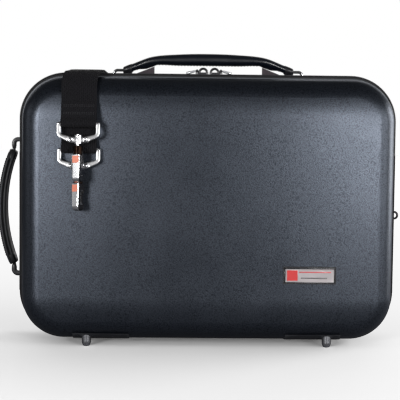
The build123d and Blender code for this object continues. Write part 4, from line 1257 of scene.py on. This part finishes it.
# %% [markdown]
# ## Sleeves on the side posts
# Black rubber sleeves stiffen the wire between the wall and each end of the side grip. The wire
# could simply be made thicker, but the sleeve is slimmer where it enters the grip. It is a round
# section carried round the wire's own bend.

# %% Sleeves on the side posts
SLEEVE_GIRTH = 2.5
SLEEVE_LEVEL = 12.0                       # how far past the grip's end the wire enters the wall
SLEEVE_START = 1.9                        # how far past the grip's end the sleeve starts
SLEEVE_BEND = 4.4
SLEEVE_SUNK = 0.3                         # how far the sleeve goes into the wall
SLIM_START, SLIM_GROWTH = 0.74, 0.06      # its girth at the grip, and what each step adds


def build_sleeve(end):
    """The sleeve over the upper or lower post, slimmer where it enters the grip."""
    level = SIDE_MIDDLE + end * (SIDE_HALF + SLEEVE_LEVEL)
    start = SIDE_MIDDLE + end * (SIDE_HALF + SLEEVE_START)
    corners = [(SIDE_X, start, 0), (SIDE_X, level, 0), (SLEEVE_SUNK - HALF_WIDTH, level, 0)]
    route = rounded_route(corners, [SLEEVE_BEND], 0.8)
    rings = []
    for i, spot in enumerate(route):
        ahead = heading(route, i)
        girth = SLEEVE_GIRTH * min(1.0, SLIM_START + SLIM_GROWTH * i)
        rings.append(cast_section(Vector((spot.x, SIDE_Y, spot.y)), Vector((ahead.x, 0, ahead.y)),
                                  Vector((0, 1, 0)), girth, girth))
    attach([carry("side_post_sleeve", rings, "sleeve")], "case_base")
    return len(route)


print("sections of the sleeves", [build_sleeve(end) for end in (-1, 1)])

# %% [markdown]
# ## Zip pulls and bridges
# Each pull is a moulded tab with a bright tip, thicker towards its end, and each slider carries
# a round cast bridge. The model's plain tab and block hold the motion. Swapping them would lose
# their fit on the pin, so the shown forms are skins laid round them.

# %% Zip pulls and bridges
PULL_START, PULL_LENGTH = 2.6, 11.6       # from the pin to the tab's start and end
PULL_DROOP = math.radians(12.5)
PULL_STEPS = 12
PULL_HALF, PULL_SWELL = 1.25, 0.35        # half its thickness at the pin, and what its end adds
PULL_WIDTH = 2.9
TIP_FROM, TIP_OVER = 0.55, 0.25           # where the bright tip starts, and how far it stands over
BRIDGE_ASIDE, BRIDGE_RADIUS, BRIDGE_GIRTH = 6.2, 4.1, 1.3
BRIDGE_SUNK = 0.8                         # how far its crown lies under the slider's top
BRIDGE_STEPS = 24


def build_pull(side, name):
    """The moulded tab round a pull's plain core, and its plated tip."""
    eye = pivot(name + "_pivot")
    ahead = Vector((side * math.cos(PULL_DROOP), 0, -math.sin(PULL_DROOP)))
    up = Vector((0, 0, 1))
    tab, tip = [], []
    for i in range(PULL_STEPS + 1):
        t = i / PULL_STEPS
        half = PULL_HALF + PULL_SWELL * t
        width = PULL_WIDTH * (1 - 0.85 * max(0.0, (t - 0.8) / 0.2) ** 2)
        flatten = 1 - 0.6 * max(0.0, t - 0.85) / 0.15
        place = eye + ahead * (PULL_START + (PULL_LENGTH - PULL_START) * t) - up * PULL_SWELL * t
        tab.append(cast_section(place, ahead, up, width, half * flatten))
        if t > TIP_FROM:
            tip.append(cast_section(place + ahead * 0.3, ahead, up, width + TIP_OVER,
                                    half * 0.72 + 0.4))
    pieces = [carry(name + "_tab", tab, "pull"), carry(name + "_tip", tip, "steel")]
    attach(pieces, name)


def build_bridge(side, name):
    """The round cast bridge over a slider."""
    top = case_box(name)[1].z
    centre = Vector((side * BRIDGE_ASIDE, 0, top - BRIDGE_RADIUS - BRIDGE_SUNK))
    rings = []
    for i in range(BRIDGE_STEPS + 1):
        angle = math.pi * i / BRIDGE_STEPS
        radial = Vector((-math.cos(angle), 0, math.sin(angle)))
        middle = centre + radial * BRIDGE_RADIUS
        rings.append([middle + (radial * c + Vector((0, s, 0))) * BRIDGE_GIRTH for c, s in oval(12)])
    attach([carry(name + "_bridge", rings, "slider")], name)


for side, hand in ((-1, "left"), (1, "right")):
    build_pull(side, hand + "_pull")
    build_bridge(side, hand + "_slider")
print("pull length in mm", PULL_LENGTH)

# %% [markdown]
# ## Badge
# The plate carries a plain enamelled panel and two fine lines. Round its edge a dark band,
# wider at the top and left, is painted shade where the bezel's recess shades the plate. It names
# nothing. The colours could be painted on, but real enamel stands a little proud, so each field
# is a thin slab with softened edges.

# %% Badge
plate_low, plate_high = case_box("badge_plate")
SHADE_BAND = 1.5
SHADE_BAND_RISE, FIELD_RISE = 0.3, 0.12
left, right = plate_low.x, plate_high.x
foot, head = plate_low.z, plate_high.z
# Each field of the badge: from and to along x, from and to in height, finish, rise.
BADGE_FIELDS = {
    # the four dark bands round the plate are painted shade from the bezel's recess, wider at the top and
    # left
    "badge_shade_band_low": (left, right, foot, foot + SHADE_BAND * 0.5, "surround", SHADE_BAND_RISE),
    "badge_shade_band_high": (left, right, head - SHADE_BAND, head, "surround", SHADE_BAND_RISE),
    "badge_shade_band_left": (left, left + SHADE_BAND, foot, head, "surround", SHADE_BAND_RISE),
    "badge_shade_band_right": (right - SHADE_BAND * 0.6, right, foot, head, "surround", SHADE_BAND_RISE),
    "badge_panel": (left + 3.0, left + 14.5, foot + 2.2, head - 2.8, "enamel", FIELD_RISE),
    "badge_line_red": (left + 16.0, right - 4.0, head - 5.2, head - 4.2, "enamel", FIELD_RISE),
    "badge_line_dark": (left + 18.0, right - 8.0, foot + 4.6, foot + 5.5, "surround", FIELD_RISE),
}


def badge_field(name, x0, x1, z0, z1, finish, rise):
    """A thin raised slab on the plate with softened edges."""
    rings = []
    for inset, out in ((0.0, -0.05), (0.0, rise * 0.6), (0.12, rise), (0.4, rise)):
        a, b, c, d = x0 + inset, x1 - inset, z0 + inset, z1 - inset
        rings.append([Vector((x, plate_low.y - out, z)) for x, z in ((a, c), (b, c), (b, d), (a, d))])
    attach([carry(name, rings, finish)], "lid")


for name, field in BADGE_FIELDS.items():
    badge_field(name, *field)
print("badge fields", len(BADGE_FIELDS))
